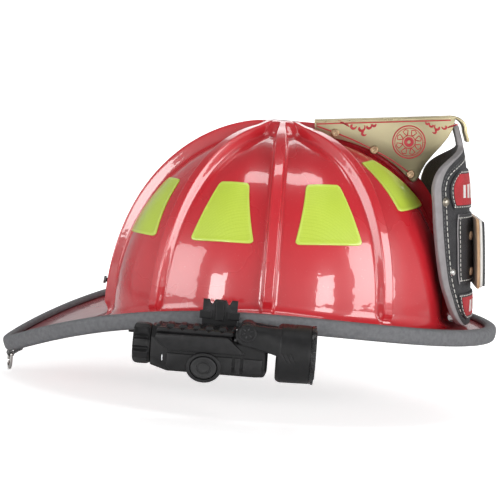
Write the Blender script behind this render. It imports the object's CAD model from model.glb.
import bpy, bmesh, math
import numpy as np
from mathutils import Vector, Matrix, noise


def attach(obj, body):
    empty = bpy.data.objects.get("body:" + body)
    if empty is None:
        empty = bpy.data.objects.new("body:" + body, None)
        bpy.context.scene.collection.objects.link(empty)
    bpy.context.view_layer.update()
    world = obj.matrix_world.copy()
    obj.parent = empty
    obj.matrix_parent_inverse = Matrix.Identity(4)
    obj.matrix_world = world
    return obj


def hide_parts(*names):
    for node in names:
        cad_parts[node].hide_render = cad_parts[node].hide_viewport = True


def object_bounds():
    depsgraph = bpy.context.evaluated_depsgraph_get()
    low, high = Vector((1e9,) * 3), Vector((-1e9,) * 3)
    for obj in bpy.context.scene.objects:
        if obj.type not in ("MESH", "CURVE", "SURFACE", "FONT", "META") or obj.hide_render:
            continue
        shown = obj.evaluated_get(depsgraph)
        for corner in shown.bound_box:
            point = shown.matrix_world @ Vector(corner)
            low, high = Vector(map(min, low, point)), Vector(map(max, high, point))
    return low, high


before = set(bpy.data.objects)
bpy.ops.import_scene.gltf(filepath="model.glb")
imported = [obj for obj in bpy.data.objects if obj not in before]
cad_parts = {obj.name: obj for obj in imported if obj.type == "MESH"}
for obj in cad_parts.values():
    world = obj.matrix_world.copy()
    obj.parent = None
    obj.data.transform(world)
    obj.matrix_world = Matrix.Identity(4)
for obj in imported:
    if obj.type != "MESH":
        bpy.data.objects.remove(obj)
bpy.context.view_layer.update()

# ---------------------------------------------------------------- shape maths (mm), same dimensions as the CAD
CX = -4.0
DOME_F, DOME_R, DOME_W, DOME_H = 139.0, 123.0, 107.0, 147.0
PLAN_EXP = 2.2
COMB_CROWN, COMB_BASE, RIB_CROWN, RIB_BASE = 11.0, 8.0, 8.5, 6.0
SHELL_T, FILLET = 3.0, 9.0
BRIM_XC, BRIM_W, BRIM_F, BRIM_R = -5.0, 137.0, 180.8, 206.0
BRIM_EF, BRIM_ER, BRIM_CROWN = 1.95, 1.75, 0.012
R_CROWN = 7.0
PI = math.pi


def z_edge(x):
    t = x / 200.0
    return -1.13 * t ** 4 + 15.92 * t ** 3 - 28.33 * t ** 2 + 0.31 * t + 14.09


def smooth(t):
    t = min(1.0, max(0.0, t))
    return t * t * (3 - 2 * t)


def rd(th):
    c, s = math.cos(th), math.sin(th)
    a = DOME_F if c > 0 else DOME_R
    return (abs(c / a) ** PLAN_EXP + abs(s / DOME_W) ** PLAN_EXP) ** (-1.0 / PLAN_EXP)


def nexp(th):
    c = math.cos(th)
    return 2.2 + (0.30 if c > 0 else -0.16) * c * c


_re = {}


def re_(th):
    k = round(th, 7)
    if k in _re:
        return _re[k]
    c, s = math.cos(th), math.sin(th)
    lo, hi = 60.0, 320.0
    for _ in range(44):
        r = 0.5 * (lo + hi)
        x = CX + r * c - BRIM_XC
        y = r * s
        if x > 0:
            f = (x / BRIM_F) ** BRIM_EF + abs(y / BRIM_W) ** BRIM_EF
        else:
            f = (-x / BRIM_R) ** BRIM_ER + abs(y / BRIM_W) ** BRIM_ER
        if f > 1:
            hi = r
        else:
            lo = r
    _re[k] = 0.5 * (lo + hi)
    return _re[k]


def zb(th):
    c = math.cos(th)
    return 17.0 - (9.0 if c > 0 else 24.0) * c * c


def dome(th, phi):
    n = nexp(th)
    R = rd(th)
    r = R * max(math.cos(phi), 0.0) ** (2.0 / n)
    z = DOME_H * max(math.sin(phi), 0.0) ** (2.0 / n)
    gr = (r / R) ** (n - 1) / R
    gz = (z / DOME_H) ** (n - 1) / DOME_H
    g = math.hypot(gr, gz)
    return r, z, gr / g, gz / g


def phi_of_z(th, z):
    return math.asin(min(1.0, max(0.0, z / DOME_H) ** (nexp(th) / 2.0)))


def phi_base(th):
    return phi_of_z(th, zb(th) + FILLET)


def rib_height(i, z):
    k = smooth((z - 20.0) / 120.0)
    if i % 4 == 0:
        return COMB_BASE + (COMB_CROWN - COMB_BASE) * k
    return RIB_BASE + (RIB_CROWN - RIB_BASE) * k


N_DOME, N_FIL, N_BRIM = 58, 9, 12


def meridian(th):
    """(r, z, nr, nz, fade) from crown to brim edge"""
    out = []
    pb = phi_base(th)
    for k in range(N_DOME):
        u = k / (N_DOME - 1)
        ph = (1 - u) * (PI / 2 - 0.012) + u * pb
        r, z, nr, nz = dome(th, ph)
        rmin = R_CROWN + 34.0 * u
        if k == 0:
            out.append((R_CROWN, DOME_H, 0.0, 1.0, 1.0))
        else:
            out.append((max(r, R_CROWN + 0.8 * k) if r < 22 else r, z, nr, nz, 1.0))
    r, z, nr, nz = dome(th, pb)
    zc = zb(th)
    wr = r + 0.4
    er = re_(th)
    ez = z_edge(CX + er * math.cos(th)) + SHELL_T / 2.0
    L = math.hypot(er - wr, ez - zc)
    ux, uz = (er - wr) / L, (ez - zc) / L
    p0, p1, p2 = (r, z), (wr, zc), (wr + FILLET * ux, zc + FILLET * uz)
    for k in range(1, N_FIL + 1):
        t = k / N_FIL
        a, b, c = (1 - t) ** 2, 2 * t * (1 - t), t * t
        x = a * p0[0] + b * p1[0] + c * p2[0]
        y = a * p0[1] + b * p1[1] + c * p2[1]
        dx = 2 * (1 - t) * (p1[0] - p0[0]) + 2 * t * (p2[0] - p1[0])
        dy = 2 * (1 - t) * (p1[1] - p0[1]) + 2 * t * (p2[1] - p1[1])
        g = math.hypot(dx, dy)
        out.append((x, y, -dy / g, dx / g, 1.0 - smooth(t * 1.05)))
    for k in range(1, N_BRIM + 1):
        t = k / N_BRIM
        s = FILLET + (L - FILLET) * t
        b = BRIM_CROWN * L * math.sin(PI * t)
        out.append((wr + s * ux, zc + s * uz + b, -uz, ux, 0.0))
    return out


RIBD = [0.0, 1.4, 2.5, 3.2, 3.55, 3.9, 4.25, 4.6, 5.0, 5.4, 5.8, 6.3, 7.0, 8.2]


def ribf(d):
    return 1.0 - 0.94 * smooth((d - 3.2) / 2.3) - 0.06 * smooth((d - 5.0) / 2.0)


PANEL = [0.10, 0.22, 0.36, 0.52, 0.68, 0.84]


def columns(r):
    """(theta, distance in rib millimetres, rib index, panel bulge)"""
    res = []
    scale = min(1.0, r / 36.0)
    for i in range(8):
        t0 = i * PI / 4
        half = PI / 8
        offs = []
        for d in RIBD:
            a = math.asin(min(0.99, d * scale / max(r, 8.0)))
            a = min(a, half * (0.12 + 0.075 * d) if d > 0 else 0.0)
            offs.append((a, d))
        last = offs[-1][0]
        right = offs + [(last + (half - last) * q, 11.0) for q in PANEL]
        for a, d in reversed(right[1:]):
            res.append((t0 - a, d, i, (a - last) / (half - last) if a > last else 0.0))
        for a, d in right:
            res.append((t0 + a, d, i, (a - last) / (half - last) if a > last else 0.0))
        res.append((t0 + half, 11.0, i, 1.0))
    return res


def shell_height(r, z, d, i, b, fade):
    crown = smooth((26.0 - r) / 14.0)
    hi = rib_height(i, z)
    f = ribf(d)
    h = hi * (f + (1 - f) * crown) * fade
    h += crown * (10.5 - hi) * fade
    h += 1.6 * smooth(b) * min(1.0, r / 90.0) * fade * (1 - crown)
    return h


def panel_pt(th, z, off):
    r, zz, nr, nz = dome(th, phi_of_z(th, z))
    d = (th % (PI / 4))
    d = min(d, PI / 4 - d)
    a = math.asin(min(0.99, 10.4 / r))
    b = max(0.0, (d - a) / (PI / 8 - a))
    h = 1.6 * smooth(b) * min(1.0, r / 90.0) + off
    return (CX + (r + nr * h) * math.cos(th), (r + nr * h) * math.sin(th), zz + nz * h)


# ---------------------------------------------------------------- mesh helpers
COL = bpy.context.scene.collection


def obj_from(name, verts, faces, mats, smooth_shade=True, body="helmet", rep=(), slot=None, fmat=None, auto=None, recalc=True):
    """verts in mm"""
    me = bpy.data.meshes.new(name)
    me.from_pydata([(x * 0.001, y * 0.001, z * 0.001) for x, y, z in verts], [], faces)
    for m in (mats if isinstance(mats, (list, tuple)) else [mats]):
        me.materials.append(m)
    if fmat is not None and len(fmat) == len(me.polygons):
        me.polygons.foreach_set("material_index", fmat)
    bm = bmesh.new()
    bm.from_mesh(me)
    bmesh.ops.remove_doubles(bm, verts=bm.verts, dist=1e-7)
    if recalc:
        bmesh.ops.recalc_face_normals(bm, faces=bm.faces)
    bm.to_mesh(me)
    bm.free()
    me.polygons.foreach_set("use_smooth", [smooth_shade] * len(me.polygons))
    o = bpy.data.objects.new(name, me)
    COL.objects.link(o)
    if auto:
        sharp_by_angle(me, auto)
    if rep:
        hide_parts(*rep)
    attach(o, body)
    return o


def sharp_by_angle(me, deg):
    bm = bmesh.new()
    bm.from_mesh(me)
    lim = math.radians(deg)
    for e in bm.edges:
        if len(e.link_faces) == 2 and e.calc_face_angle(0) > lim:
            e.smooth = False
    bm.to_mesh(me)
    bm.free()


def grid_faces(nu, nv, cu=False, cv=False, base=0, flip=False):
    fs = []
    for i in range(nu if cu else nu - 1):
        for j in range(nv if cv else nv - 1):
            a = base + i * nv + j
            b = base + ((i + 1) % nu) * nv + j
            c = base + ((i + 1) % nu) * nv + (j + 1) % nv
            d = base + i * nv + (j + 1) % nv
            fs.append((a, d, c, b) if flip else (a, b, c, d))
    return fs


class Geo:
    """collects several closed lumps into one mesh"""

    def __init__(self):
        self.v, self.f, self.m = [], [], []

    def add(self, verts, faces, mat=0):
        b = len(self.v)
        self.v += [tuple(p) for p in verts]
        self.f += [tuple(b + i for i in f) for f in faces]
        self.m += [mat] * len(faces)

    def grid(self, rows, cu=False, cv=False, cap0=False, cap1=False, mat=0):
        nu, nv = len(rows), len(rows[0])
        vs = [p for r in rows for p in r]
        fs = grid_faces(nu, nv, cu, cv)
        if cap0:
            fs.append(tuple(range(nv)))
        if cap1:
            fs.append(tuple(reversed(range((nu - 1) * nv, nu * nv))))
        self.add(vs, fs, mat)

    def tube(self, pts, rad, n=8, closed=False, mat=0, up=(0, 0, 1)):
        rows = []
        N = len(pts)
        P = [Vector(p) for p in pts]
        prev = None
        for i in range(N):
            if closed:
                t = (P[(i + 1) % N] - P[i - 1]).normalized()
            else:
                t = (P[min(i + 1, N - 1)] - P[max(i - 1, 0)]).normalized()
            if prev is None:
                a = t.cross(Vector(up))
                if a.length < 1e-4:
                    a = t.cross(Vector((1, 0, 0)))
                a.normalize()
            else:
                a = prev - t * prev.dot(t)
                a.normalize()
            prev = a
            b = t.cross(a)
            r = rad[i] if isinstance(rad, (list, tuple)) else rad
            rows.append([tuple(P[i] + (a * math.cos(2 * PI * k / n) + b * math.sin(2 * PI * k / n)) * r) for k in range(n)])
        self.grid(rows, cu=closed, cv=True, cap0=not closed, cap1=not closed, mat=mat)

    def capsule(self, c, ax, nrm, l, w, h, mat=0):
        """small rounded stitch: length l along ax, width w, height h along nrm"""
        c, ax, nrm = Vector(c), Vector(ax).normalized(), Vector(nrm).normalized()
        sd = nrm.cross(ax).normalized()
        rows = []
        for s, k in ((-1.0, 0.25), (-0.72, 0.85), (0.0, 1.0), (0.72, 0.85), (1.0, 0.25)):
            rows.append([tuple(c + ax * (s * l / 2) + sd * (math.cos(2 * PI * q / 6) * w / 2 * k) + nrm * (math.sin(2 * PI * q / 6) * h / 2 * k)) for q in range(6)])
        self.grid(rows, cv=True, cap0=True, cap1=True, mat=mat)

    def lathe(self, prof, c, ax, n=32, mat=0):
        """prof: (distance along axis, radius); open ends are capped"""
        c, ax = Vector(c), Vector(ax).normalized()
        a = ax.cross(Vector((0, 0, 1)))
        if a.length < 1e-3:
            a = ax.cross(Vector((1, 0, 0)))
        a.normalize()
        b = ax.cross(a)
        rows = []
        for s, r in prof:
            rows.append([tuple(c + ax * s + (a * math.cos(2 * PI * k / n) + b * math.sin(2 * PI * k / n)) * r) for k in range(n)])
        self.grid(rows, cv=True, cap0=True, cap1=True, mat=mat)

    def obj(self, name, mats, **kw):
        o = obj_from(name, self.v, self.f, mats, fmat=self.m if len(set(self.m)) > 1 else None, **kw)
        return o


# ---------------------------------------------------------------- materials
def srgb(r, g, b):
    def f(c):
        c /= 255.0
        return c / 12.92 if c <= 0.04045 else ((c + 0.055) / 1.055) ** 2.4
    return (f(r), f(g), f(b), 1.0)


def new_mat(name):
    m = bpy.data.materials.new(name)
    m.use_nodes = True
    nt = m.node_tree
    b = nt.nodes.get("Principled BSDF")
    return m, nt, b


def N(nt, kind, **kw):
    n = nt.nodes.new(kind)
    for k, v in kw.items():
        if k.startswith("i_"):
            n.inputs[k[2:].replace("_", " ")].default_value = v
        else:
            setattr(n, k, v)
    return n


def material(name, c1, c2=None, rough=(0.4, 0.55), metal=0.0, nscale=60.0, bump=0.15, bscale=400.0, bdist=0.0002, coat=0.0,
             coat_rough=0.05, bevel=0.0, wear=None, sheen=0.0, spec=0.5, detail=6.0, voronoi=None, wave=None, trans=0.0, ior=None,
             dust=None, aniso=0.0):
    """general procedural finish: mottled colour, varying roughness, fine bump, optional wear on raised edges"""
    m, nt, b = new_mat(name)
    L = nt.links
    tc = N(nt, "ShaderNodeTexCoord")
    n1 = N(nt, "ShaderNodeTexNoise")
    n1.inputs["Scale"].default_value = nscale
    n1.inputs["Detail"].default_value = detail
    L.new(tc.outputs["Object"], n1.inputs["Vector"])
    ramp = N(nt, "ShaderNodeMapRange")
    ramp.inputs["From Min"].default_value = 0.3
    ramp.inputs["From Max"].default_value = 0.7
    L.new(n1.outputs["Fac"], ramp.inputs["Value"])
    mix = N(nt, "ShaderNodeMix", data_type="RGBA")
    mix.inputs["A"].default_value = c1
    mix.inputs["B"].default_value = c2 or c1
    L.new(ramp.outputs["Result"], mix.inputs["Factor"])
    col = mix.outputs["Result"]
    if wear is not None:
        geo = N(nt, "ShaderNodeNewGeometry")
        mr = N(nt, "ShaderNodeMapRange")
        mr.inputs["From Min"].default_value = 0.53
        mr.inputs["From Max"].default_value = 0.62
        L.new(geo.outputs["Pointiness"], mr.inputs["Value"])
        mul = N(nt, "ShaderNodeMath", operation="MULTIPLY")
        L.new(mr.outputs["Result"], mul.inputs[0])
        L.new(ramp.outputs["Result"], mul.inputs[1])
        mx = N(nt, "ShaderNodeMix", data_type="RGBA")
        mx.inputs["B"].default_value = wear
        L.new(mul.outputs["Value"], mx.inputs["Factor"])
        L.new(col, mx.inputs["A"])
        col = mx.outputs["Result"]
    if dust is not None:
        n3 = N(nt, "ShaderNodeTexNoise")
        n3.inputs["Scale"].default_value = 900.0
        n3.inputs["Detail"].default_value = 2.0
        L.new(tc.outputs["Object"], n3.inputs["Vector"])
        mr3 = N(nt, "ShaderNodeMapRange")
        mr3.inputs["From Min"].default_value = 0.68
        mr3.inputs["From Max"].default_value = 0.74
        mr3.inputs["To Max"].default_value = 0.5
        L.new(n3.outputs["Fac"], mr3.inputs["Value"])
        mx3 = N(nt, "ShaderNodeMix", data_type="RGBA")
        mx3.inputs["B"].default_value = dust
        L.new(mr3.outputs["Result"], mx3.inputs["Factor"])
        L.new(col, mx3.inputs["A"])
        col = mx3.outputs["Result"]
    L.new(col, b.inputs["Base Color"])
    mr = N(nt, "ShaderNodeMapRange")
    mr.inputs["To Min"].default_value = rough[0]
    mr.inputs["To Max"].default_value = rough[1]
    n2 = N(nt, "ShaderNodeTexNoise")
    n2.inputs["Scale"].default_value = nscale * 2.3
    n2.inputs["Detail"].default_value = 4.0
    L.new(tc.outputs["Object"], n2.inputs["Vector"])
    L.new(n2.outputs["Fac"], mr.inputs["Value"])
    L.new(mr.outputs["Result"], b.inputs["Roughness"])
    b.inputs["Metallic"].default_value = metal
    b.inputs["Specular IOR Level"].default_value = spec
    b.inputs["Coat Weight"].default_value = coat
    b.inputs["Coat Roughness"].default_value = coat_rough
    if sheen:
        b.inputs["Sheen Weight"].default_value = sheen
        b.inputs["Sheen Roughness"].default_value = 0.4
    if trans:
        b.inputs["Transmission Weight"].default_value = trans
    if ior:
        b.inputs["IOR"].default_value = ior
    if aniso:
        b.inputs["Anisotropic"].default_value = aniso
    nb = N(nt, "ShaderNodeTexNoise")
    nb.inputs["Scale"].default_value = bscale
    nb.inputs["Detail"].default_value = 5.0
    L.new(tc.outputs["Object"], nb.inputs["Vector"])
    h = nb.outputs["Fac"]
    if voronoi:
        vo = N(nt, "ShaderNodeTexVoronoi", feature="DISTANCE_TO_EDGE")
        vo.inputs["Scale"].default_value = voronoi
        L.new(tc.outputs["Object"], vo.inputs["Vector"])
        mv = N(nt, "ShaderNodeMapRange")
        mv.inputs["From Max"].default_value = 0.12
        L.new(vo.outputs["Distance"], mv.inputs["Value"])
        ad = N(nt, "ShaderNodeMath", operation="MULTIPLY_ADD")
        ad.inputs[1].default_value = 0.3
        L.new(h, ad.inputs[0])
        L.new(mv.outputs["Result"], ad.inputs[2])
        h = ad.outputs["Value"]
    if wave:
        wv = N(nt, "ShaderNodeTexWave", bands_direction=wave[1])
        wv.inputs["Scale"].default_value = wave[0]
        wv.inputs["Distortion"].default_value = 0.6
        L.new(tc.outputs["Object"], wv.inputs["Vector"])
        ad = N(nt, "ShaderNodeMath", operation="MULTIPLY_ADD")
        ad.inputs[1].default_value = 0.4
        L.new(h, ad.inputs[0])
        L.new(wv.outputs["Fac"], ad.inputs[2])
        h = ad.outputs["Value"]
    bp = N(nt, "ShaderNodeBump")
    bp.inputs["Strength"].default_value = bump
    bp.inputs["Distance"].default_value = bdist
    L.new(h, bp.inputs["Height"])
    if bevel:
        bv = N(nt, "ShaderNodeBevel")
        bv.samples = 6
        bv.inputs["Radius"].default_value = bevel
        L.new(bv.outputs["Normal"], bp.inputs["Normal"])
    L.new(bp.outputs["Normal"], b.inputs["Normal"])
    return m


def paint_red():
    m, nt, b = new_mat("shell_red_gloss")
    L = nt.links
    tc = N(nt, "ShaderNodeTexCoord")
    n1 = N(nt, "ShaderNodeTexNoise")
    n1.inputs["Scale"].default_value = 14.0
    n1.inputs["Detail"].default_value = 3.0
    L.new(tc.outputs["Object"], n1.inputs["Vector"])
    mix = N(nt, "ShaderNodeMix", data_type="RGBA")
    mix.inputs["A"].default_value = (0.54, 0.016, 0.026, 1)
    mix.inputs["B"].default_value = (0.60, 0.024, 0.034, 1)
    L.new(n1.outputs["Fac"], mix.inputs["Factor"])
    # fine specks of dust and handling marks
    n2 = N(nt, "ShaderNodeTexNoise")
    n2.inputs["Scale"].default_value = 1300.0
    n2.inputs["Detail"].default_value = 1.0
    L.new(tc.outputs["Object"], n2.inputs["Vector"])
    mr = N(nt, "ShaderNodeMapRange")
    mr.inputs["From Min"].default_value = 0.74
    mr.inputs["From Max"].default_value = 0.79
    mr.inputs["To Max"].default_value = 0.35
    L.new(n2.outputs["Fac"], mr.inputs["Value"])
    mx = N(nt, "ShaderNodeMix", data_type="RGBA")
    mx.inputs["B"].default_value = (0.75, 0.45, 0.42, 1)
    L.new(mr.outputs["Result"], mx.inputs["Factor"])
    L.new(mix.outputs["Result"], mx.inputs["A"])
    sep = N(nt, "ShaderNodeSeparateXYZ")
    L.new(tc.outputs["Object"], sep.inputs["Vector"])
    low = N(nt, "ShaderNodeMapRange")
    low.inputs["From Min"].default_value = 0.016
    low.inputs["From Max"].default_value = -0.012
    L.new(sep.outputs["Z"], low.inputs["Value"])
    far = N(nt, "ShaderNodeMapRange")
    far.inputs["From Min"].default_value = -0.110
    far.inputs["From Max"].default_value = -0.165
    L.new(sep.outputs["X"], far.inputs["Value"])
    soil = N(nt, "ShaderNodeMath", operation="MULTIPLY")
    L.new(low.outputs["Result"], soil.inputs[0])
    L.new(far.outputs["Result"], soil.inputs[1])
    soil2 = N(nt, "ShaderNodeMath", operation="MULTIPLY")
    soil2.inputs[1].default_value = 0.75
    L.new(soil.outputs["Value"], soil2.inputs[0])
    mz = N(nt, "ShaderNodeMix", data_type="RGBA")
    mz.inputs["B"].default_value = (0.26, 0.085, 0.095, 1)
    L.new(soil2.outputs["Value"], mz.inputs["Factor"])
    L.new(mx.outputs["Result"], mz.inputs["A"])
    L.new(mz.outputs["Result"], b.inputs["Base Color"])
    mr2 = N(nt, "ShaderNodeMapRange")
    mr2.inputs["To Min"].default_value = 0.22
    mr2.inputs["To Max"].default_value = 0.34
    L.new(n1.outputs["Fac"], mr2.inputs["Value"])
    L.new(mr2.outputs["Result"], b.inputs["Roughness"])
    b.inputs["Specular IOR Level"].default_value = 0.5
    b.inputs["Coat Weight"].default_value = 1.0
    b.inputs["Coat Roughness"].default_value = 0.035
    b.inputs["Coat IOR"].default_value = 1.6
    # faint orange peel in the clear coat
    n3 = N(nt, "ShaderNodeTexNoise")
    n3.inputs["Scale"].default_value = 95.0
    n3.inputs["Detail"].default_value = 2.0
    L.new(tc.outputs["Object"], n3.inputs["Vector"])
    bp = N(nt, "ShaderNodeBump")
    bp.inputs["Strength"].default_value = 0.16
    bp.inputs["Distance"].default_value = 0.001
    L.new(n3.outputs["Fac"], bp.inputs["Height"])
    L.new(bp.outputs["Normal"], b.inputs["Coat Normal"])
    return m


M = {}
M["red"] = paint_red()
M["trim"] = material("trim_rubber_cloth", (0.135, 0.137, 0.145, 1), (0.185, 0.187, 0.195, 1), (0.62, 0.85), nscale=320, bump=0.35, bscale=2200, bdist=0.0004, spec=0.35, voronoi=1500.0)
M["brass"] = material("brass_sheet", (0.13, 0.118, 0.068, 1), (0.43, 0.375, 0.235, 1), (0.30, 0.42), metal=1.0, nscale=17, detail=1.5, bump=0.12, bscale=900, bevel=0.0006, wear=(0.80, 0.70, 0.44, 1), aniso=0.4)
M["brass_edge"] = material("brass_rolled_edge", (0.62, 0.50, 0.30, 1), (0.78, 0.66, 0.44, 1), (0.22, 0.36), metal=1.0, nscale=60, bump=0.1, bscale=900, wear=(0.85, 0.75, 0.5, 1))
M["brass_screw"] = material("brass_screw", (0.30, 0.19, 0.11, 1), (0.52, 0.36, 0.23, 1), (0.28, 0.42), metal=1.0, nscale=300, bump=0.15, bscale=1800, bevel=0.0003, wear=(0.75, 0.65, 0.38, 1))
M["inlay"] = material("inlay_enamel", (0.46, 0.018, 0.030, 1), (0.38, 0.014, 0.024, 1), (0.3, 0.45), nscale=200, bump=0.1, bscale=1500)
M["leather"] = material("leather_black", (0.020, 0.020, 0.022, 1), (0.038, 0.037, 0.040, 1), (0.42, 0.60), nscale=90, bump=0.5, bscale=900, bdist=0.0005, voronoi=620.0, spec=0.5, wear=(0.12, 0.12, 0.12, 1))
M["leather_edge"] = material("leather_burnished_edge", (0.29, 0.275, 0.28, 1), (0.23, 0.215, 0.22, 1), (0.45, 0.6), nscale=160, bump=0.25, bscale=1600)
M["leather_red"] = material("leather_red", (0.50, 0.02, 0.03, 1), (0.38, 0.015, 0.02, 1), (0.45, 0.62), nscale=120, bump=0.45, bscale=900, voronoi=700.0, bdist=0.0004)
M["leather_tan"] = material("leather_raw", (0.44, 0.26, 0.14, 1), (0.58, 0.38, 0.23, 1), (0.6, 0.8), nscale=180, bump=0.4, bscale=1200, sheen=0.2)
M["leather_white"] = material("leather_white", (0.78, 0.77, 0.74, 1), (0.70, 0.69, 0.66, 1), (0.42, 0.58), nscale=120, bump=0.3, bscale=900, voronoi=700.0)
M["thread"] = material("thread_white", (0.78, 0.77, 0.72, 1), (0.62, 0.60, 0.55, 1), (0.6, 0.8), nscale=600, bump=0.4, bscale=2500, sheen=0.3)
M["thread_dark"] = material("thread_dark", (0.12, 0.12, 0.12, 1), (0.20, 0.20, 0.20, 1), (0.6, 0.8), nscale=600, bump=0.4, bscale=2500, sheen=0.3)
M["steel"] = material("steel_polished", (0.62, 0.61, 0.59, 1), (0.72, 0.70, 0.67, 1), (0.12, 0.24), metal=1.0, nscale=220, bump=0.05, bscale=1500)
M["antique"] = material("rivet_antique", (0.30, 0.27, 0.22, 1), (0.44, 0.40, 0.33, 1), (0.25, 0.42), metal=1.0, nscale=500, bump=0.15, bscale=1800)
M["black_steel"] = material("steel_blackened", (0.022, 0.022, 0.024, 1), (0.045, 0.044, 0.046, 1), (0.35, 0.5), metal=0.6, nscale=300, bump=0.15, bscale=1600, bevel=0.0003, wear=(0.3, 0.3, 0.3, 1))
M["plastic"] = material("light_plastic", (0.0065, 0.0065, 0.0070, 1), (0.0115, 0.0112, 0.0120, 1), (0.40, 0.56), nscale=160, bump=0.25, bscale=2200, bdist=0.0002, bevel=0.0006, wear=(0.034, 0.032, 0.034, 1), spec=0.32, dust=(0.026, 0.026, 0.027, 1))
M["plastic_gloss"] = material("light_plastic_gloss", (0.006, 0.006, 0.0066, 1), (0.011, 0.011, 0.0118, 1), (0.20, 0.34), nscale=160, bump=0.12, bscale=1800, bevel=0.0005, wear=(0.05, 0.05, 0.052, 1), spec=0.4)
M["rubber"] = material("switch_rubber", (0.010, 0.010, 0.0108, 1), (0.017, 0.0168, 0.0175, 1), (0.5, 0.68), nscale=260, bump=0.3, bscale=2600, bevel=0.0005)
M["band"] = material("band_plastic", (0.030, 0.030, 0.032, 1), (0.044, 0.044, 0.046, 1), (0.4, 0.55), nscale=120, bump=0.2, bscale=1500, bevel=0.0004)
M["foam"] = material("liner_foam", (0.055, 0.056, 0.060, 1), (0.085, 0.086, 0.090, 1), (0.75, 0.92), nscale=200, bump=0.7, bscale=1300, bdist=0.0008, voronoi=420.0, spec=0.25)
M["web"] = material("webbing", (0.026, 0.027, 0.030, 1), (0.046, 0.047, 0.052, 1), (0.7, 0.85), nscale=400, bump=0.6, bscale=1600, bdist=0.0005, sheen=0.35, wave=(380.0, "DIAGONAL"))
M["pad"] = material("pad_cloth", (0.050, 0.050, 0.054, 1), (0.075, 0.075, 0.080, 1), (0.78, 0.92), nscale=300, bump=0.7, bscale=1800, bdist=0.0006, sheen=0.5)
M["flap"] = material("flap_cloth", (0.045, 0.040, 0.034, 1), (0.070, 0.062, 0.052, 1), (0.78, 0.92), nscale=240, bump=0.6, bscale=1500, bdist=0.0006, sheen=0.5, wave=(300.0, "Z"))
M["board"] = material("circuit_board", (0.02, 0.12, 0.045, 1), (0.03, 0.17, 0.06, 1), (0.35, 0.5), nscale=300, bump=0.2, bscale=1500)
M["cell"] = material("cell_wrap", (0.16, 0.17, 0.19, 1), (0.22, 0.23, 0.26, 1), (0.25, 0.4), nscale=120, bump=0.08, bscale=1200)
M["mirror"] = material("reflector", (0.82, 0.82, 0.83, 1), (0.88, 0.88, 0.88, 1), (0.03, 0.08), metal=1.0, nscale=200, bump=0.02, bscale=500)
M["lens"] = material("lens_clear", (0.95, 0.97, 0.98, 1), (0.92, 0.95, 0.97, 1), (0.01, 0.04), nscale=80, bump=0.01, bscale=300, trans=1.0, ior=1.49)
M["led"] = material("led_die", (0.85, 0.72, 0.18, 1), (0.92, 0.80, 0.30, 1), (0.2, 0.3), nscale=900, bump=0.1, bscale=2500)
M["indicator"] = material("indicator_lens", (0.75, 0.76, 0.78, 1), (0.85, 0.86, 0.88, 1), (0.1, 0.2), nscale=500, bump=0.05, bscale=1500, coat=0.6)


def reflex():
    """prismatic sheeting: fine lozenge cells under a clear face"""
    m, nt, b = new_mat("reflective_sheet")
    L = nt.links
    tc = N(nt, "ShaderNodeTexCoord")
    vo = N(nt, "ShaderNodeTexVoronoi", feature="DISTANCE_TO_EDGE")
    vo.inputs["Scale"].default_value = 900.0
    vo.inputs["Randomness"].default_value = 0.15
    L.new(tc.outputs["Object"], vo.inputs["Vector"])
    mr = N(nt, "ShaderNodeMapRange")
    mr.inputs["From Max"].default_value = 0.16
    L.new(vo.outputs["Distance"], mr.inputs["Value"])
    n1 = N(nt, "ShaderNodeTexNoise")
    n1.inputs["Scale"].default_value = 36.0
    L.new(tc.outputs["Object"], n1.inputs["Vector"])
    mixn = N(nt, "ShaderNodeMix", data_type="RGBA")
    mixn.inputs["A"].default_value = (0.50, 0.66, 0.050, 1)
    mixn.inputs["B"].default_value = (0.58, 0.71, 0.085, 1)
    L.new(n1.outputs["Fac"], mixn.inputs["Factor"])
    mix = N(nt, "ShaderNodeMix", data_type="RGBA")
    mix.inputs["A"].default_value = (0.47, 0.62, 0.045, 1)
    L.new(mixn.outputs["Result"], mix.inputs["B"])
    L.new(mr.outputs["Result"], mix.inputs["Factor"])
    L.new(mix.outputs["Result"], b.inputs["Base Color"])
    b.inputs["Roughness"].default_value = 0.35
    b.inputs["Coat Weight"].default_value = 0.8
    b.inputs["Coat Roughness"].default_value = 0.08
    bp = N(nt, "ShaderNodeBump")
    bp.inputs["Strength"].default_value = 0.25
    bp.inputs["Distance"].default_value = 0.0003
    L.new(mr.outputs["Result"], bp.inputs["Height"])
    L.new(bp.outputs["Normal"], b.inputs["Normal"])
    return m


M["reflex"] = reflex()
M["reflex_edge"] = material("reflective_sheet_border", (0.60, 0.74, 0.12, 1), (0.54, 0.69, 0.08, 1), (0.25, 0.4), nscale=90, bump=0.08, bscale=900, coat=0.7)

# ---------------------------------------------------------------- shell
def rib_offsets(r):
    scale = min(1.0, r / 36.0)
    half = PI / 8
    offs = []
    for d in RIBD:
        a = math.asin(min(0.99, d * scale / max(r, 8.0)))
        a = min(a, half * (0.12 + 0.075 * d) if d > 0 else 0.0)
        offs.append((a, d))
    last = offs[-1][0]
    right = offs + [(last + (half - last) * q, 11.0) for q in PANEL]
    out = [(-a, d, (a - last) / (half - last) if a > last else 0.0) for a, d in reversed(right[1:])]
    out += [(a, d, (a - last) / (half - last) if a > last else 0.0) for a, d in right]
    out.append((half, 11.0, 1.0))
    return out


_mer = {}


def mer(th):
    k = round(th, 6)
    if k not in _mer:
        _mer[k] = meridian(th)
    return _mer[k]


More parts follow.
